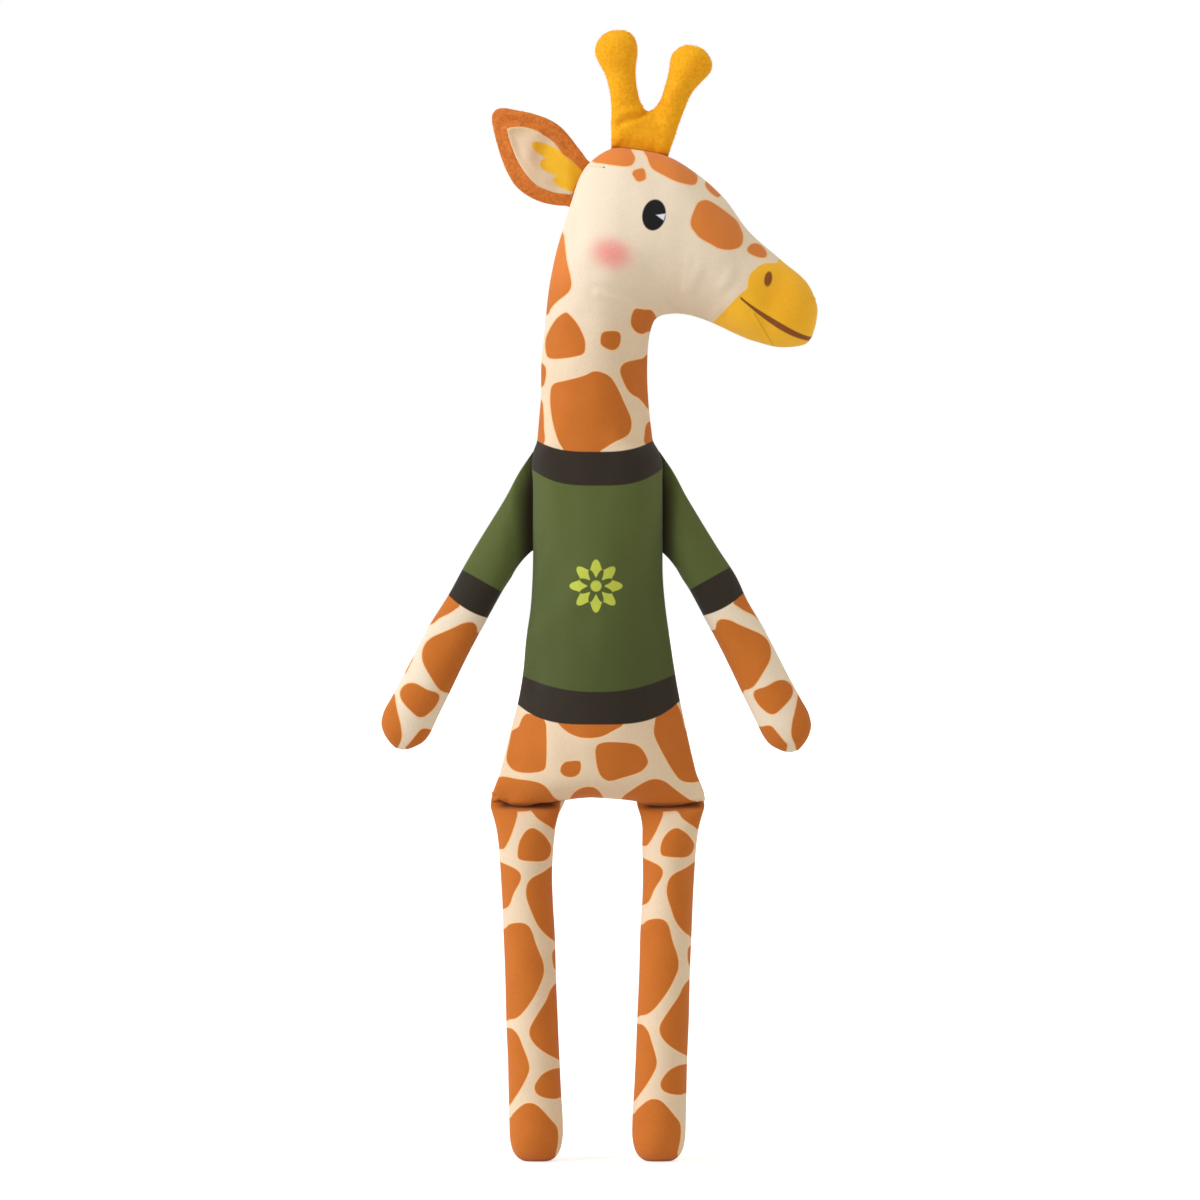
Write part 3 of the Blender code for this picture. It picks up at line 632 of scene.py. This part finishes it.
class Value:
    """A number somewhere in a material, for ordinary arithmetic."""

    def __init__(self, shader, socket):
        self.shader, self.socket = shader, socket

    def math(self, operation, *others):
        return self.shader.add("ShaderNodeMath", {"operation": operation}, self, *others)

    def __add__(self, other):
        return self.math("ADD", other)

    def __sub__(self, other):
        return self.math("SUBTRACT", other)

    def __rsub__(self, other):
        return self * -1 + other

    def __mul__(self, other):
        return self.math("MULTIPLY", other)

    __radd__, __rmul__ = __add__, __mul__

    def __truediv__(self, other):
        return self.math("DIVIDE", other)

    def __neg__(self):
        return self * -1

    def __abs__(self):
        return self.math("ABSOLUTE")

    def root(self):
        return self.math("SQRT")

    def least(self, other):
        return self.math("MINIMUM", other)

    def most(self, other):
        return self.math("MAXIMUM", other)


class Shader:
    """One material, built from its nodes."""

    def __init__(self, name):
        self.material = bpy.data.materials.new(name)
        self.material.use_nodes = True
        self.tree = self.material.node_tree
        self.base = self.tree.nodes["Principled BSDF"]

    def add(self, kind, settings, *values, output=0, named=()):
        node = self.tree.nodes.new(kind)
        for key, value in settings.items():
            setattr(node, key, value)
        for key, value in [*enumerate(values), *dict(named).items()]:
            self.put(node, key, value)
        return Value(self, node.outputs[output])

    def put(self, node, key, value):
        if isinstance(value, Value):
            self.tree.links.new(value.socket, node.inputs[key])
        else:
            node.inputs[key].default_value = value

    def set(self, key, value):
        self.put(self.base, key, value)

    def number(self, title):
        return self.add("ShaderNodeAttribute", {"attribute_name": title}, output="Fac")

    def vector(self, title):
        return self.add("ShaderNodeAttribute", {"attribute_name": title}, output="Vector")

    def parts(self, vector):
        node = self.add("ShaderNodeSeparateXYZ", {}, vector).socket.node
        return Value(self, node.outputs[0]), Value(self, node.outputs[1])

    def step(self, value, low, high):
        """0 up to low and 1 from high, smooth between them."""
        settings = {"interpolation_type": "SMOOTHSTEP"}
        return self.add("ShaderNodeMapRange", settings, value, low, high, 0.0, 1.0)

    def inside(self, value, soft=0.7):
        """1 where the value is below 0, with a soft edge."""
        return 1 - self.step(value, -soft, soft)

    def mix(self, factor, first, second):
        named = {0: factor, 6: first, 7: second}
        return self.add("ShaderNodeMix", {"data_type": "RGBA"}, output=2, named=named)

    def noise(self, vector, scale, detail=2.0, roughness=0.5):
        named = {"Vector": vector, "Scale": scale, "Detail": detail, "Roughness": roughness}
        return self.add("ShaderNodeTexNoise", {}, named=named)

    def object_place(self):
        return self.add("ShaderNodeTexCoord", {}, output="Object")


def ellipse(x, y, centre, radii, degrees):
    """Less than 0 inside a turned ellipse, in pixels."""
    c, s = math.cos(math.radians(degrees)), math.sin(math.radians(degrees))
    dx, dy = x - centre[0], y - centre[1]
    u, v = (dx * c + dy * s) / radii[0], (dy * c - dx * s) / radii[1]
    return ((u * u + v * v).root() - 1) * min(radii)


def polynomial(value, table, column, degree):
    """The table's column as a smooth function of its first, between x 735 and 825."""
    table = np.array(table)
    factors = np.polyfit((table[:, 0] - 780) / 40, table[:, column], degree)
    t = (value - 780) / 40
    total = t * float(factors[0]) + float(factors[1])
    for factor in factors[2:]:
        total = total * t + float(factor)
    return total


def cloth(shader, colour, grain=0.00006, thread=0.00045):
    """Finishes a material as matt printed cotton: its weave, a fine nap and a soft sheen."""
    u, v = shader.parts(shader.vector("weave"))
    turn = 2 * math.pi / thread
    weave = (u * turn).math("SINE") * (v * turn).math("SINE")
    place = shader.object_place()
    nap = shader.noise(place, 1100.0, 3.0, 0.65)
    patchy = shader.noise(place, 45.0, 3.0, 0.55)
    shade = (patchy - 0.5) * 0.10 + (nap - 0.5) * 0.26 + 1
    tinted = shader.add(
        "ShaderNodeVectorMath", {"operation": "SCALE"}, colour, named={3: shade}, output=0)
    shader.set("Base Color", tinted)
    shader.set("Roughness", shader.noise(place, 300.0) * 0.12 + 0.80)
    shader.set("Sheen Weight", 0.12)
    shader.set("Sheen Roughness", 0.5)
    shader.set("IOR", 1.4)
    shader.set("Specular IOR Level", 0.25)
    height = weave * 0.5 + nap * 1.2
    bump = shader.add(
        "ShaderNodeBump", {}, named={"Strength": 0.55, "Distance": grain, "Height": height}, output="Normal")
    shader.set("Normal", bump)
    return shader.material


def spotted(shader, ground, paler=0.0):
    """The ground colour with its orange spots, each in a thin pale rim."""
    edge = shader.number("spots")
    place = shader.object_place()
    tone = shader.mix(shader.noise(place, 60.0, 3.0), srgb(192, 105, 35), srgb(204, 117, 42))
    tone = shader.mix(paler, tone, srgb(226, 134, 60))
    rim = shader.step(edge, -0.3, 0.3) * (1 - shader.step(edge, 0.9, 1.9))
    rimmed = shader.mix(rim * 0.7, ground, HALO)
    return shader.mix(shader.inside(edge, 0.6), rimmed, tone)


def shaded(shader, colour, depth):
    """Paints the shade of a fold into the colour, darker as the depth goes from 0 to 1."""
    return shader.mix(depth, colour, FOLD_SHADE)


def body_print():
    shader = Shader("body cotton")
    x, y = shader.parts(shader.vector("print"))

    def band(height, rise, centre, spread, power):
        across = abs((x - centre) / spread)
        return y - (height - across.math("POWER", power) * rise)

    # Painted light: paler, cooler cream on the head, where more light falls, turning to the warmer cream of the body
    # below
    ground = shader.mix(shader.step(y, 230, 420), CREAM, WARM_CREAM)
    colour = spotted(shader, ground, (1 - shader.step(y, 240, 330)) * 0.8)
    _, depth = shader.parts(shader.object_place())
    front = 1 - shader.step(depth, -0.001, 0.001)
    away = ellipse(x, y, (611.5, 253.8), (20, 15), 14) / 15 + 1
    colour = shader.mix((away * away * -away).math("EXPONENT") * 0.9, colour, BLUSH)
    muzzle = shader.number("muzzle")
    halo = shader.step(muzzle, -0.2, 0.6) * (1 - shader.step(muzzle, 1.0, 2.0))
    colour = shader.mix(halo * 0.35, colour, srgb(253, 226, 170))
    mustard = shader.mix(shader.step(ellipse(x, y, (785, 300), (30, 22), 30), -14, 16),
                         srgb(248, 182, 38), MUSTARD)
    colour = shader.mix(shader.inside(muzzle, 0.6), colour, mustard)
    eye = ellipse(x, y, (654, 215), (11.75, 15.75), 11)
    colour = shader.mix(shader.inside(eye), colour, EYE)
    glint = triangle(x, y, ((656.2, 215), (665.7, 213.7), (663.6, 220.4)))
    colour = shader.mix(shader.inside(glint), colour, GLINT)
    nostril = ellipse(x, y, (768.2, 279), (3.9, 7.6), 10)
    colour = shader.mix(shader.inside(nostril), colour, BROWN)
    line = abs(y - polynomial(x, MOUTH, 1, 4)) * 0.83 - polynomial(x, MOUTH, 2, 4) / 2
    line = line.most(740.5 - x)
    chin = abs(x - 753 - (y - 311) * 0.58).most(abs(y - 329) - 16)
    colour = shader.mix(shader.inside(chin - 0.4) * 0.45, colour, BROWN)
    colour = shader.mix(shader.inside(line, 0.6), colour, BROWN)
    stray = abs(y - 166.2 - (x - 591) * 0.09).most(abs(x - 597.5) - 6.5)
    colour = shader.mix(shader.inside(stray - 0.5) * front * 0.25, colour, BROWN)
    knot = ellipse(x, y, (604, 167.3), (0.9, 0.9), 0)
    colour = shader.mix(shader.inside(knot, 0.4) * front * 0.8, colour, CHARCOAL)
    # Painted shade along the body's lower edge, where it overhangs the legs
    colour = shaded(shader, colour, shader.step(y, 801, 806.5) * 0.6)
    collar_top = band(451.8, 11.0, 595, 57.6, 3.0).least(y - 400)
    collar_low = band(485.7, 16, 597, 64.3, 3.1)
    hem_top = band(692, 18, 597, 78, 2.2)
    hem_low = band(724.6, 22, 597, 81, 3.5)
    # Painted shade: the shirt's green darkens towards the hem
    shirt = shader.mix(shader.step(y, 520, 690), GREEN, SHADED_GREEN)
    shirt = shader.mix(shader.inside(rosette(x, y)) * front, shirt, LIME)
    bands = shader.inside(collar_low).most(shader.inside(-hem_top))
    shirt = shader.mix(bands, shirt, CHARCOAL)
    dressed = shader.inside(-collar_top) * shader.inside(hem_low)
    return cloth(shader, shader.mix(dressed, colour, shirt))


def triangle(x, y, corners):
    """Less than 0 inside a triangle whose corners run clockwise in the picture."""
    worst = None
    for (ax, ay), (bx, by) in zip(corners, corners[1:] + corners[:1]):
        length = math.hypot(bx - ax, by - ay)
        side = (x - ax) * ((by - ay) / length) - (y - ay) * ((bx - ax) / length)
        worst = side if worst is None else worst.most(side)
    return worst


def rosette(x, y):
    """Less than 0 inside a plain flower of eight round petals about a dot."""
    dx, dy = x - 596, y - 586
    away = (dx * dx + dy * dy).root()
    wave = (dx.math("ARCTAN2", dy) * 8).math("COSINE")
    petals = abs(away - 17.5) - (wave * 4.6 + 4.4)
    return petals.least(away - 5.5)


def arm_print():
    shader = Shader("arm cotton")
    x, y = shader.parts(shader.vector("print"))
    dx, dy = x - 531, y - 455
    along, inwards = dy * 0.871 - dx * 0.491, dx * 0.871 + dy * 0.491
    bow = (inwards - 21) / 21
    cuff_end = along - (166.1 - bow * bow * 2.7)
    colour = spotted(shader, CREAM)
    sleeve = shader.mix(shader.inside(along - 133.6), CHARCOAL, GREEN)
    colour = shader.mix(shader.inside(cuff_end), colour, sleeve)
    # Painted shade in the deep fold where the arm meets the body, narrower towards the shoulder
    fold = shader.step(x + shader.step(y, 455, 500) * 8, 521, 538)
    return cloth(shader, shaded(shader, colour, fold * 0.93))


def leg_print():
    shader = Shader("leg cotton")
    x, y = shader.parts(shader.vector("print"))
    # Painted shade on the leg's top, under the body's overhanging lower edge, fading towards the outer corners
    under = (1 - shader.step(y, 805, 810.5)) * (1 - shader.step(abs(x - 528), 22, 34))
    return cloth(shader, shaded(shader, spotted(shader, WARM_CREAM), under * 0.82))


def lining_print():
    shader = Shader("ear lining cotton")
    x, y = shader.parts(shader.vector("print"))
    # Painted shade: a warmer, darker cream down the hollow of the ear's lining
    hollow_shade = ellipse(x, y, (533, 158), (9, 25), 0) / 9 + 1
    ground = shader.mix((hollow_shade * -hollow_shade).math("EXPONENT") * 0.6, LINING_CREAM, srgb(220, 178, 142))
    rim = shader.step(shader.number("edge"), -1.7, -0.5)
    ground = shader.mix(rim * 0.7, ground, HALO)
    # Painted shade on the tuft's right end, in the head's shadow, and on its left lobe
    tuft_shade = shader.step(x, 565, 575).most(1 - shader.step(x, 536, 552))
    yellow = shader.mix(tuft_shade * 0.6, TUFT_YELLOW, srgb(226, 152, 22))
    return cloth(shader, shader.mix(shader.inside(shader.number("tuft"), 0.9), ground, yellow))


def fleece(name, colour, darker, glow, based=False):
    """Short dense pile, seen as a soft uneven nap, with painted shade along the horns' base if it is theirs."""
    shader = Shader(name)
    place = shader.object_place()
    tufts = shader.noise(place, 640.0, 3.0, 0.6)
    broad = shader.noise(place, 130.0, 2.0)
    painted = shader.mix((tufts - 0.5) * 2.4 + broad * 0.7 + 0.2, darker, colour)
    if based:
        # Painted shade: a broad darker band above the horns' base and a thin dark line along it
        x, y = shader.parts(shader.vector("print"))
        below = y - 145.8 - (x - 612) * 0.16
        painted = shader.mix(shader.step(below, -10, 0) * 0.5, painted, srgb(208, 112, 14))
        painted = shader.mix(shader.step(below, -2, 0.6) * 0.7, painted, srgb(140, 52, 14))
    shader.set("Base Color", painted)
    shader.set("Roughness", 0.95)
    shader.set("Sheen Weight", 1.0)
    shader.set("Sheen Tint", glow)
    shader.set("Sheen Roughness", 0.6)
    shader.set("Specular IOR Level", 0.15)
    bump = shader.add(
        "ShaderNodeBump", {}, named={"Strength": 0.9, "Distance": 0.0005, "Height": tufts}, output="Normal")
    shader.set("Normal", bump)
    return shader.material


# The pieces


def body_piece():
    rungs = [(left, y, right, y, depth, pinch) for y, left, right, depth, pinch in TRUNK]
    rungs += [(*row[:4], HEAD_DEPTH * row[4], HEAD_PINCH) for row in HEAD]
    grids = relaxed("body fill", puffed(smoothed(keyed(rungs)), 32), 4, 0.014, 0.002)
    grids = [halved(halved(grid, 0), 1) for grid in grids]
    grids = seam_detail(grids, 3)
    edge = pairs(*LOWER_EDGE)
    for grid in grids:
        across = grid[..., 0] / SCALE + MIDDLE
        rise = (804.9 - np.interp(across, edge[:, 0], edge[:, 1])) * SCALE
        height = (grid[..., 2] - px(0, 804.9)[1]) / 0.012
        fade = np.clip(1 - height, 0, 1) ** 2
        out = np.abs(grid[..., 1]) / 0.006
        grid[..., 2] += (rise - LIP_DROOP * out * np.exp(1 - out) * over_leg(across)) * fade
    grids = folded(grids, BODY_FOLDS)
    outlines = {"spots": [pairs(row) for row in BODY_SPOTS], "muzzle": [pairs(*MUZZLE)]}
    return piece("body_cloth", grids, body_print(), outlines)


def over_leg(across):
    """1 over each leg and 0 between and beside them, from a pixel column."""
    away = np.abs(np.abs(across - MIDDLE) - LEG[0][1])
    return np.clip((LEG[0][2] - away) / 8, 0, 1)


def arm_piece(side, material):
    """side is -1 for the giraffe's right arm, at the photograph's left."""
    rungs = [(*row, 1.0) for row in ARM]
    grids = puffed(smoothed(keyed(rungs)), 12)
    grids = relaxed("arm fill", grids, 4, 0.012, 0.0012)
    grids = seam_detail([halved(halved(grid, 0), 1) for grid in grids], 5 + side, lumps=0.0002)
    if side > 0:
        grids = [grid * (-1, 1, 1) for grid in grids]
        for grid in grids:
            outer = np.linspace(1, 0, grid.shape[1])
            swell = np.exp(-(((grid[..., 2] - px(0, 578)[1]) / 0.011) ** 2))
            tip = np.clip((px(0, 690)[1] - grid[..., 2]) / 0.03, 0, 1)
            grid[..., 0] += 0.0017 * outer * swell + 0.0009 * tip
            grid[..., 0] -= 0.0013 + 0.0006 * np.clip((grid[..., 0] - 0.05) / 0.03, 0, 1)
            grid[..., 2] -= 0.0014 * tip
    shift = (lambda where: np.stack([1193 - where[:, 0], where[:, 1] + 3], 1)) if side > 0 else None
    outlines = {"spots": [pairs(row) for row in ARM_SPOTS]}
    name = ("left" if side > 0 else "right") + "_arm_cloth"
    return piece(name, grids, material, outlines, shift)


def leg_piece(side, material):
    """side is -1 for the giraffe's right leg, at the photograph's left."""
    rungs = []
    for y, place, half, depth in LEG:
        middle = MIDDLE + side * place
        flare = 5.2 * math.exp((803 - y) / 13) if side < 0 else -2.2 * math.exp(-(((y - 824) / 18) ** 2))
        ends = sorted((middle + side * half, middle - side * (half + flare)))
        rungs.append((ends[0], y, ends[1], y, depth, 1.0))
    grids = puffed(smoothed(keyed(rungs)), 12)
    grids = relaxed("leg fill", grids, 4, 0.012, 0.0012)
    grids = seam_detail([halved(halved(grid, 0), 1) for grid in grids], 11 + side, lumps=0.0002)
    heights, places = np.array([(row[0], row[1]) for row in LEG]).T

    def shift(where):
        apart = 2 * np.interp(where[:, 1], heights, places)
        return np.stack([where[:, 0] - apart, where[:, 1] + 4 * np.clip((where[:, 1] - 830) / 20, 0, 1)], 1)

    outlines = {"spots": [pairs(row) for row in LEG_SPOTS]}
    name = ("left" if side > 0 else "right") + "_leg_cloth"
    return piece(name, grids, material, outlines, shift if side > 0 else None)


def horns_piece():
    rungs = [(*row[:4], HORN_DEPTH * row[4], row[5]) for row in HORNS]
    grids = puffed(smoothed(keyed(rungs), HORN_CORNERS), 12)
    for grid in grids:
        low = np.clip((px(0, 92)[1] - grid[..., 2:3]) / 0.008, 0, 1)
        grid[..., 1:2] += (softened(grid[..., 1:2], 12) - grid[..., 1:2]) * low
    grids = relaxed("horn fill", grids, 3, 0.008, 0.0006)
    grids = seam_detail([halved(halved(grid, 0), 1) for grid in grids], 17, 0.0002)
    grids = folded(grids, HORN_FOLDS, behind=0.4)
    return piece("horns_fleece", grids, fleece("horn fleece", HORN, DEEP_HORN, HORN_GLOW, True), {})


def ear_piece():
    rungs = [(*row[:4], EAR_DEPTH * row[4], 1.3) for row in EAR]
    grids = [halved(halved(grid, 0), 1) for grid in puffed(smoothed(keyed(rungs)), 12)]
    grids = seam_detail(grids, 23, 0.0002, lumps=0.0001)
    edges = [(3.4, 0.8, [value for row in LINING for value in row[i:i + 2]]) for i in (0, 2)]
    grids = folded(grids, [EAR_FOLD, *edges])
    return piece("ear_fleece", grids, fleece("ear fleece", RUST, srgb(192, 102, 40), RUST), {})


def lining_piece(ear):
    """The printed lining, laid on the front of the ear with its rim turned under."""
    ear_mesh = bmesh.new()
    ear_mesh.from_mesh(ear.data)
    surface = BVHTree.FromBMesh(ear_mesh)
    rows = smoothed(keyed([(*row, 1, 1) for row in LINING]))
    share = np.linspace(0, 1, 25)[None, :, None]
    flat = rows[:, None, 0:2] + (rows[:, None, 2:4] - rows[:, None, 0:2]) * share
    count, columns = flat.shape[:2]
    layers = []
    for lift in (0.0004, -0.0002):
        grid = np.empty((count, columns, 3))
        for i in range(count):
            for j in range(columns):
                x, z = flat[i, j]
                hit = surface.ray_cast(Vector((x, -1, z)), Vector((0, 1, 0)))[0]
                rim = min(i, count - 1 - i, j, columns - 1 - j)
                y = hit.y if hit else 0
                grid[i, j] = (x, y - (lift if rim else -0.0001), z)
        layers.append(grid)
    ear_mesh.free()
    edge = [row[:2] for row in LINING] + [row[2:] for row in reversed(LINING)]
    return piece("ear_lining", layers, lining_print(), {"tuft": [pairs(*TUFT)], "edge": [pairs(*edge)]})


def pile_tree():
    """Scatters short hairs over a surface, thick enough to be read as fleece."""
    tree = bpy.data.node_groups.new("short pile", "GeometryNodeTree")
    face = tree.interface
    face.new_socket("Surface", in_out="INPUT", socket_type="NodeSocketGeometry")
    face.new_socket("Hair", in_out="INPUT", socket_type="NodeSocketObject")
    face.new_socket("Density", in_out="INPUT", socket_type="NodeSocketFloat")
    face.new_socket("Length", in_out="INPUT", socket_type="NodeSocketFloat")
    face.new_socket("Material", in_out="INPUT", socket_type="NodeSocketMaterial")
    face.new_socket("Pile", in_out="OUTPUT", socket_type="NodeSocketGeometry")
    nodes, links = tree.nodes, tree.links
    given, result = nodes.new("NodeGroupInput"), nodes.new("NodeGroupOutput")
    scatter = nodes.new("GeometryNodeDistributePointsOnFaces")
    scatter.inputs["Seed"].default_value = 7
    hair = nodes.new("GeometryNodeObjectInfo")
    place = nodes.new("GeometryNodeInstanceOnPoints")
    tilt = nodes.new("FunctionNodeRandomValue")
    tilt.data_type = "FLOAT_VECTOR"
    tilt.inputs["Min"].default_value = (-0.75, -0.75, -3.1)
    tilt.inputs["Max"].default_value = (0.75, 0.75, 3.1)
    lean = nodes.new("GeometryNodeRotateInstances")
    size = nodes.new("FunctionNodeRandomValue")
    size.inputs[2].default_value, size.inputs[3].default_value = 0.6, 1.2
    grow = nodes.new("ShaderNodeMath")
    grow.operation = "MULTIPLY"
    scale = nodes.new("GeometryNodeScaleInstances")
    real = nodes.new("GeometryNodeRealizeInstances")
    paint = nodes.new("GeometryNodeSetMaterial")
    for source, target in (
        (given.outputs["Surface"], scatter.inputs["Mesh"]),
        (given.outputs["Density"], scatter.inputs["Density"]),
        (given.outputs["Hair"], hair.inputs["Object"]),
        (scatter.outputs["Points"], place.inputs["Points"]),
        (scatter.outputs["Rotation"], place.inputs["Rotation"]),
        (hair.outputs["Geometry"], place.inputs["Instance"]),
        (place.outputs["Instances"], lean.inputs["Instances"]),
        (tilt.outputs["Value"], lean.inputs["Rotation"]),
        (size.outputs[1], grow.inputs[0]),
        (given.outputs["Length"], grow.inputs[1]),
        (grow.outputs[0], scale.inputs["Scale"]),
        (lean.outputs["Instances"], scale.inputs["Instances"]),
        (scale.outputs["Instances"], real.inputs["Geometry"]),
        (real.outputs["Geometry"], paint.inputs["Geometry"]),
        (given.outputs["Material"], paint.inputs["Material"]),
        (paint.outputs["Geometry"], result.inputs["Pile"]),
    ):
        links.new(source, target)
    return tree


def hair_object():
    """One hair: a bent three-sided spike a unit long."""
    rings = [(0.0, 0.0, 0.075), (0.45, 0.05, 0.055)]
    places = []
    for height, bend, radius in rings:
        for i in range(3):
            angle = i * 2 * math.pi / 3
            places.append((bend + radius * math.cos(angle), radius * math.sin(angle), height))
    places.append((0.22, 0, 1.0))
    faces = [(i, (i + 1) % 3, 3 + (i + 1) % 3, 3 + i) for i in range(3)]
    faces += [(3 + i, 3 + (i + 1) % 3, 6) for i in range(3)] + [(2, 1, 0)]
    data = bpy.data.meshes.new("hair")
    data.from_pydata(places, [], faces)
    made = bpy.data.objects.new("hair", data)
    bpy.context.scene.collection.objects.link(made)
    return made


def pile_piece(name, ground, tree, hair, material, density, length):
    """Short hairs over the ground piece, as one plain mesh."""
    made = bpy.data.objects.new(name, ground.data.copy())
    bpy.context.scene.collection.objects.link(made)
    grown = made.modifiers.new("pile", "NODES")
    grown.node_group = tree
    given = {"Hair": hair, "Density": density, "Length": length, "Material": material}
    for item in tree.interface.items_tree:
        if item.in_out == "INPUT" and item.name in given:
            grown[item.identifier] = given[item.name]
    bpy.context.view_layer.update()
    shown = made.evaluated_get(bpy.context.evaluated_depsgraph_get())
    plain = bpy.data.meshes.new_from_object(shown)
    made.modifiers.clear()
    made.data = plain
    plain.name = name
    return made


def set_stage():
    """A pale floor under white, soft light from the upper left, and the camera of the photograph."""
    data = bpy.data.meshes.new("floor")
    data.from_pydata([(-40, -40, 0), (40, -40, 0), (40, 40, 0), (-40, 40, 0)], [], [(0, 1, 2, 3)])
    floor = bpy.data.objects.new("floor", data)
    bpy.context.scene.collection.objects.link(floor)
    shader = Shader("pale floor")
    shader.set("Base Color", (0.84, 0.82, 0.79, 1))
    shader.set("Roughness", 0.9)
    shader.set("Specular IOR Level", 0.0)
    shader.set("Emission Color", (1, 1, 1, 1))
    rays = shader.add("ShaderNodeLightPath", {}).socket.node.outputs
    camera, glossy, clear = (
        Value(shader, rays[f"Is {kind} Ray"]) for kind in ("Camera", "Glossy", "Transmission"))
    shader.set("Emission Strength", camera.most(glossy).most(clear) * 0.6)
    data.materials.append(shader.material)

    world = bpy.data.worlds.new("soft white room")
    world.use_nodes = True
    bpy.context.scene.world = world
    tree = world.node_tree
    ground = tree.nodes["Background"]
    path = tree.nodes.new("ShaderNodeLightPath")
    shown = None
    for output in ("Is Camera Ray", "Is Glossy Ray", "Is Transmission Ray"):
        if shown is None:
            shown = path.outputs[output]
            continue
        most = tree.nodes.new("ShaderNodeMath")
        most.operation = "MAXIMUM"
        tree.links.new(shown, most.inputs[0])
        tree.links.new(path.outputs[output], most.inputs[1])
        shown = most.outputs[0]
    level = tree.nodes.new("ShaderNodeMapRange")
    level.inputs["To Min"].default_value = 0.43
    level.inputs["To Max"].default_value = 1.0
    tint = tree.nodes.new("ShaderNodeMix")
    tint.data_type = "RGBA"
    tint.inputs[6].default_value, tint.inputs[7].default_value = (1, 0.92, 0.82, 1), (1, 1, 1, 1)
    for source, target in (
        (shown, level.inputs["Value"]),
        (shown, tint.inputs[0]),
        (level.outputs[0], ground.inputs["Strength"]),
        (tint.outputs[2], ground.inputs["Color"]),
    ):
        tree.links.new(source, target)

    for name, strength, colour, spread, towards in (
        ("window", 2.4, (0.97, 1, 1.10), 40, (-0.80, -0.36, 0.48)),
        ("far window", 0.42, (1, 1, 1), 60, (0.88, -0.20, 0.34)),
        ("skylight", 0.30, (1, 1, 1), 60, (0.50, -0.10, 0.86)),
    ):
        lamp = bpy.data.lights.new(name, "SUN")
        lamp.energy, lamp.color, lamp.angle = strength, colour, math.radians(spread)
        sun = bpy.data.objects.new(name, lamp)
        bpy.context.scene.collection.objects.link(sun)
        sun.rotation_mode = "QUATERNION"
        sun.rotation_quaternion = Vector(towards).to_track_quat("Z", "Y")

    lens = bpy.data.cameras.new("camera")
    lens.lens, lens.sensor_width = 135, 36
    camera = bpy.data.objects.new("camera", lens)
    bpy.context.scene.collection.objects.link(camera)
    camera.location = (CAMERA[0], -CAMERA[1], CAMERA[2])
    camera.rotation_euler = (math.pi / 2, 0, 0)
    bpy.context.scene.camera = camera
    bpy.context.scene.view_settings.view_transform = "Standard"


def attach():
    """Builds every piece, ties the body cloth to the torso and hides the frame's parts that the pieces cover."""
    body = body_piece()
    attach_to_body(body, "torso")
    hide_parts("body_front_panel", "body_back_panel", "trunk_stuffing", "neck_stuffing", "head_stuffing")
    arm_cotton, leg_cotton = arm_print(), leg_print()
    for side, name in ((-1, "right"), (1, "left")):
        arm, leg = arm_piece(side, arm_cotton), leg_piece(side, leg_cotton)
        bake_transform(arm)
        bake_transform(leg)
        for made, limb in ((arm, "_arm"), (leg, "_leg")):
            nodes = [name + limb + end for end in ("_front_panel", "_back_panel", "_stuffing")]
            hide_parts(*nodes)

    horns, ear = horns_piece(), ear_piece()
    lining = lining_piece(ear)
    tree, hair = pile_tree(), hair_object()
    long_pile = fleece("horn pile", srgb(255, 196, 46), srgb(240, 160, 22), HORN_GLOW, True)
    ear_nap = fleece("ear pile", srgb(234, 144, 68), srgb(198, 106, 42), RUST)
    horn_pile = pile_piece("horns_pile", horns, tree, hair, long_pile, 900000.0, 0.0009)
    ear_pile = pile_piece("ear_pile", ear, tree, hair, ear_nap, 900000.0, 0.0008)
    bpy.data.objects.remove(hair)
    low, high = (Vector((x, 0, z)) for x, z in (px(612, 149), px(667, 155)))
    for made in (horns, horn_pile):
        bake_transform(made)
    low, high = (Vector((x, 0, z)) for x, z in (px(569, 208), px(587, 165)))
    for made, cloth_slot in ((ear, "ear_fleece"), (ear_pile, "ear_fleece"), (lining, "printed_cotton")):
        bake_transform(made)
    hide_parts("horns_front_panel", "horns_back_panel", "horns_stuffing")
    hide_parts("ear_back_panel", "ear_stuffing")
    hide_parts("ear_front_panel")


attach()
set_stage()
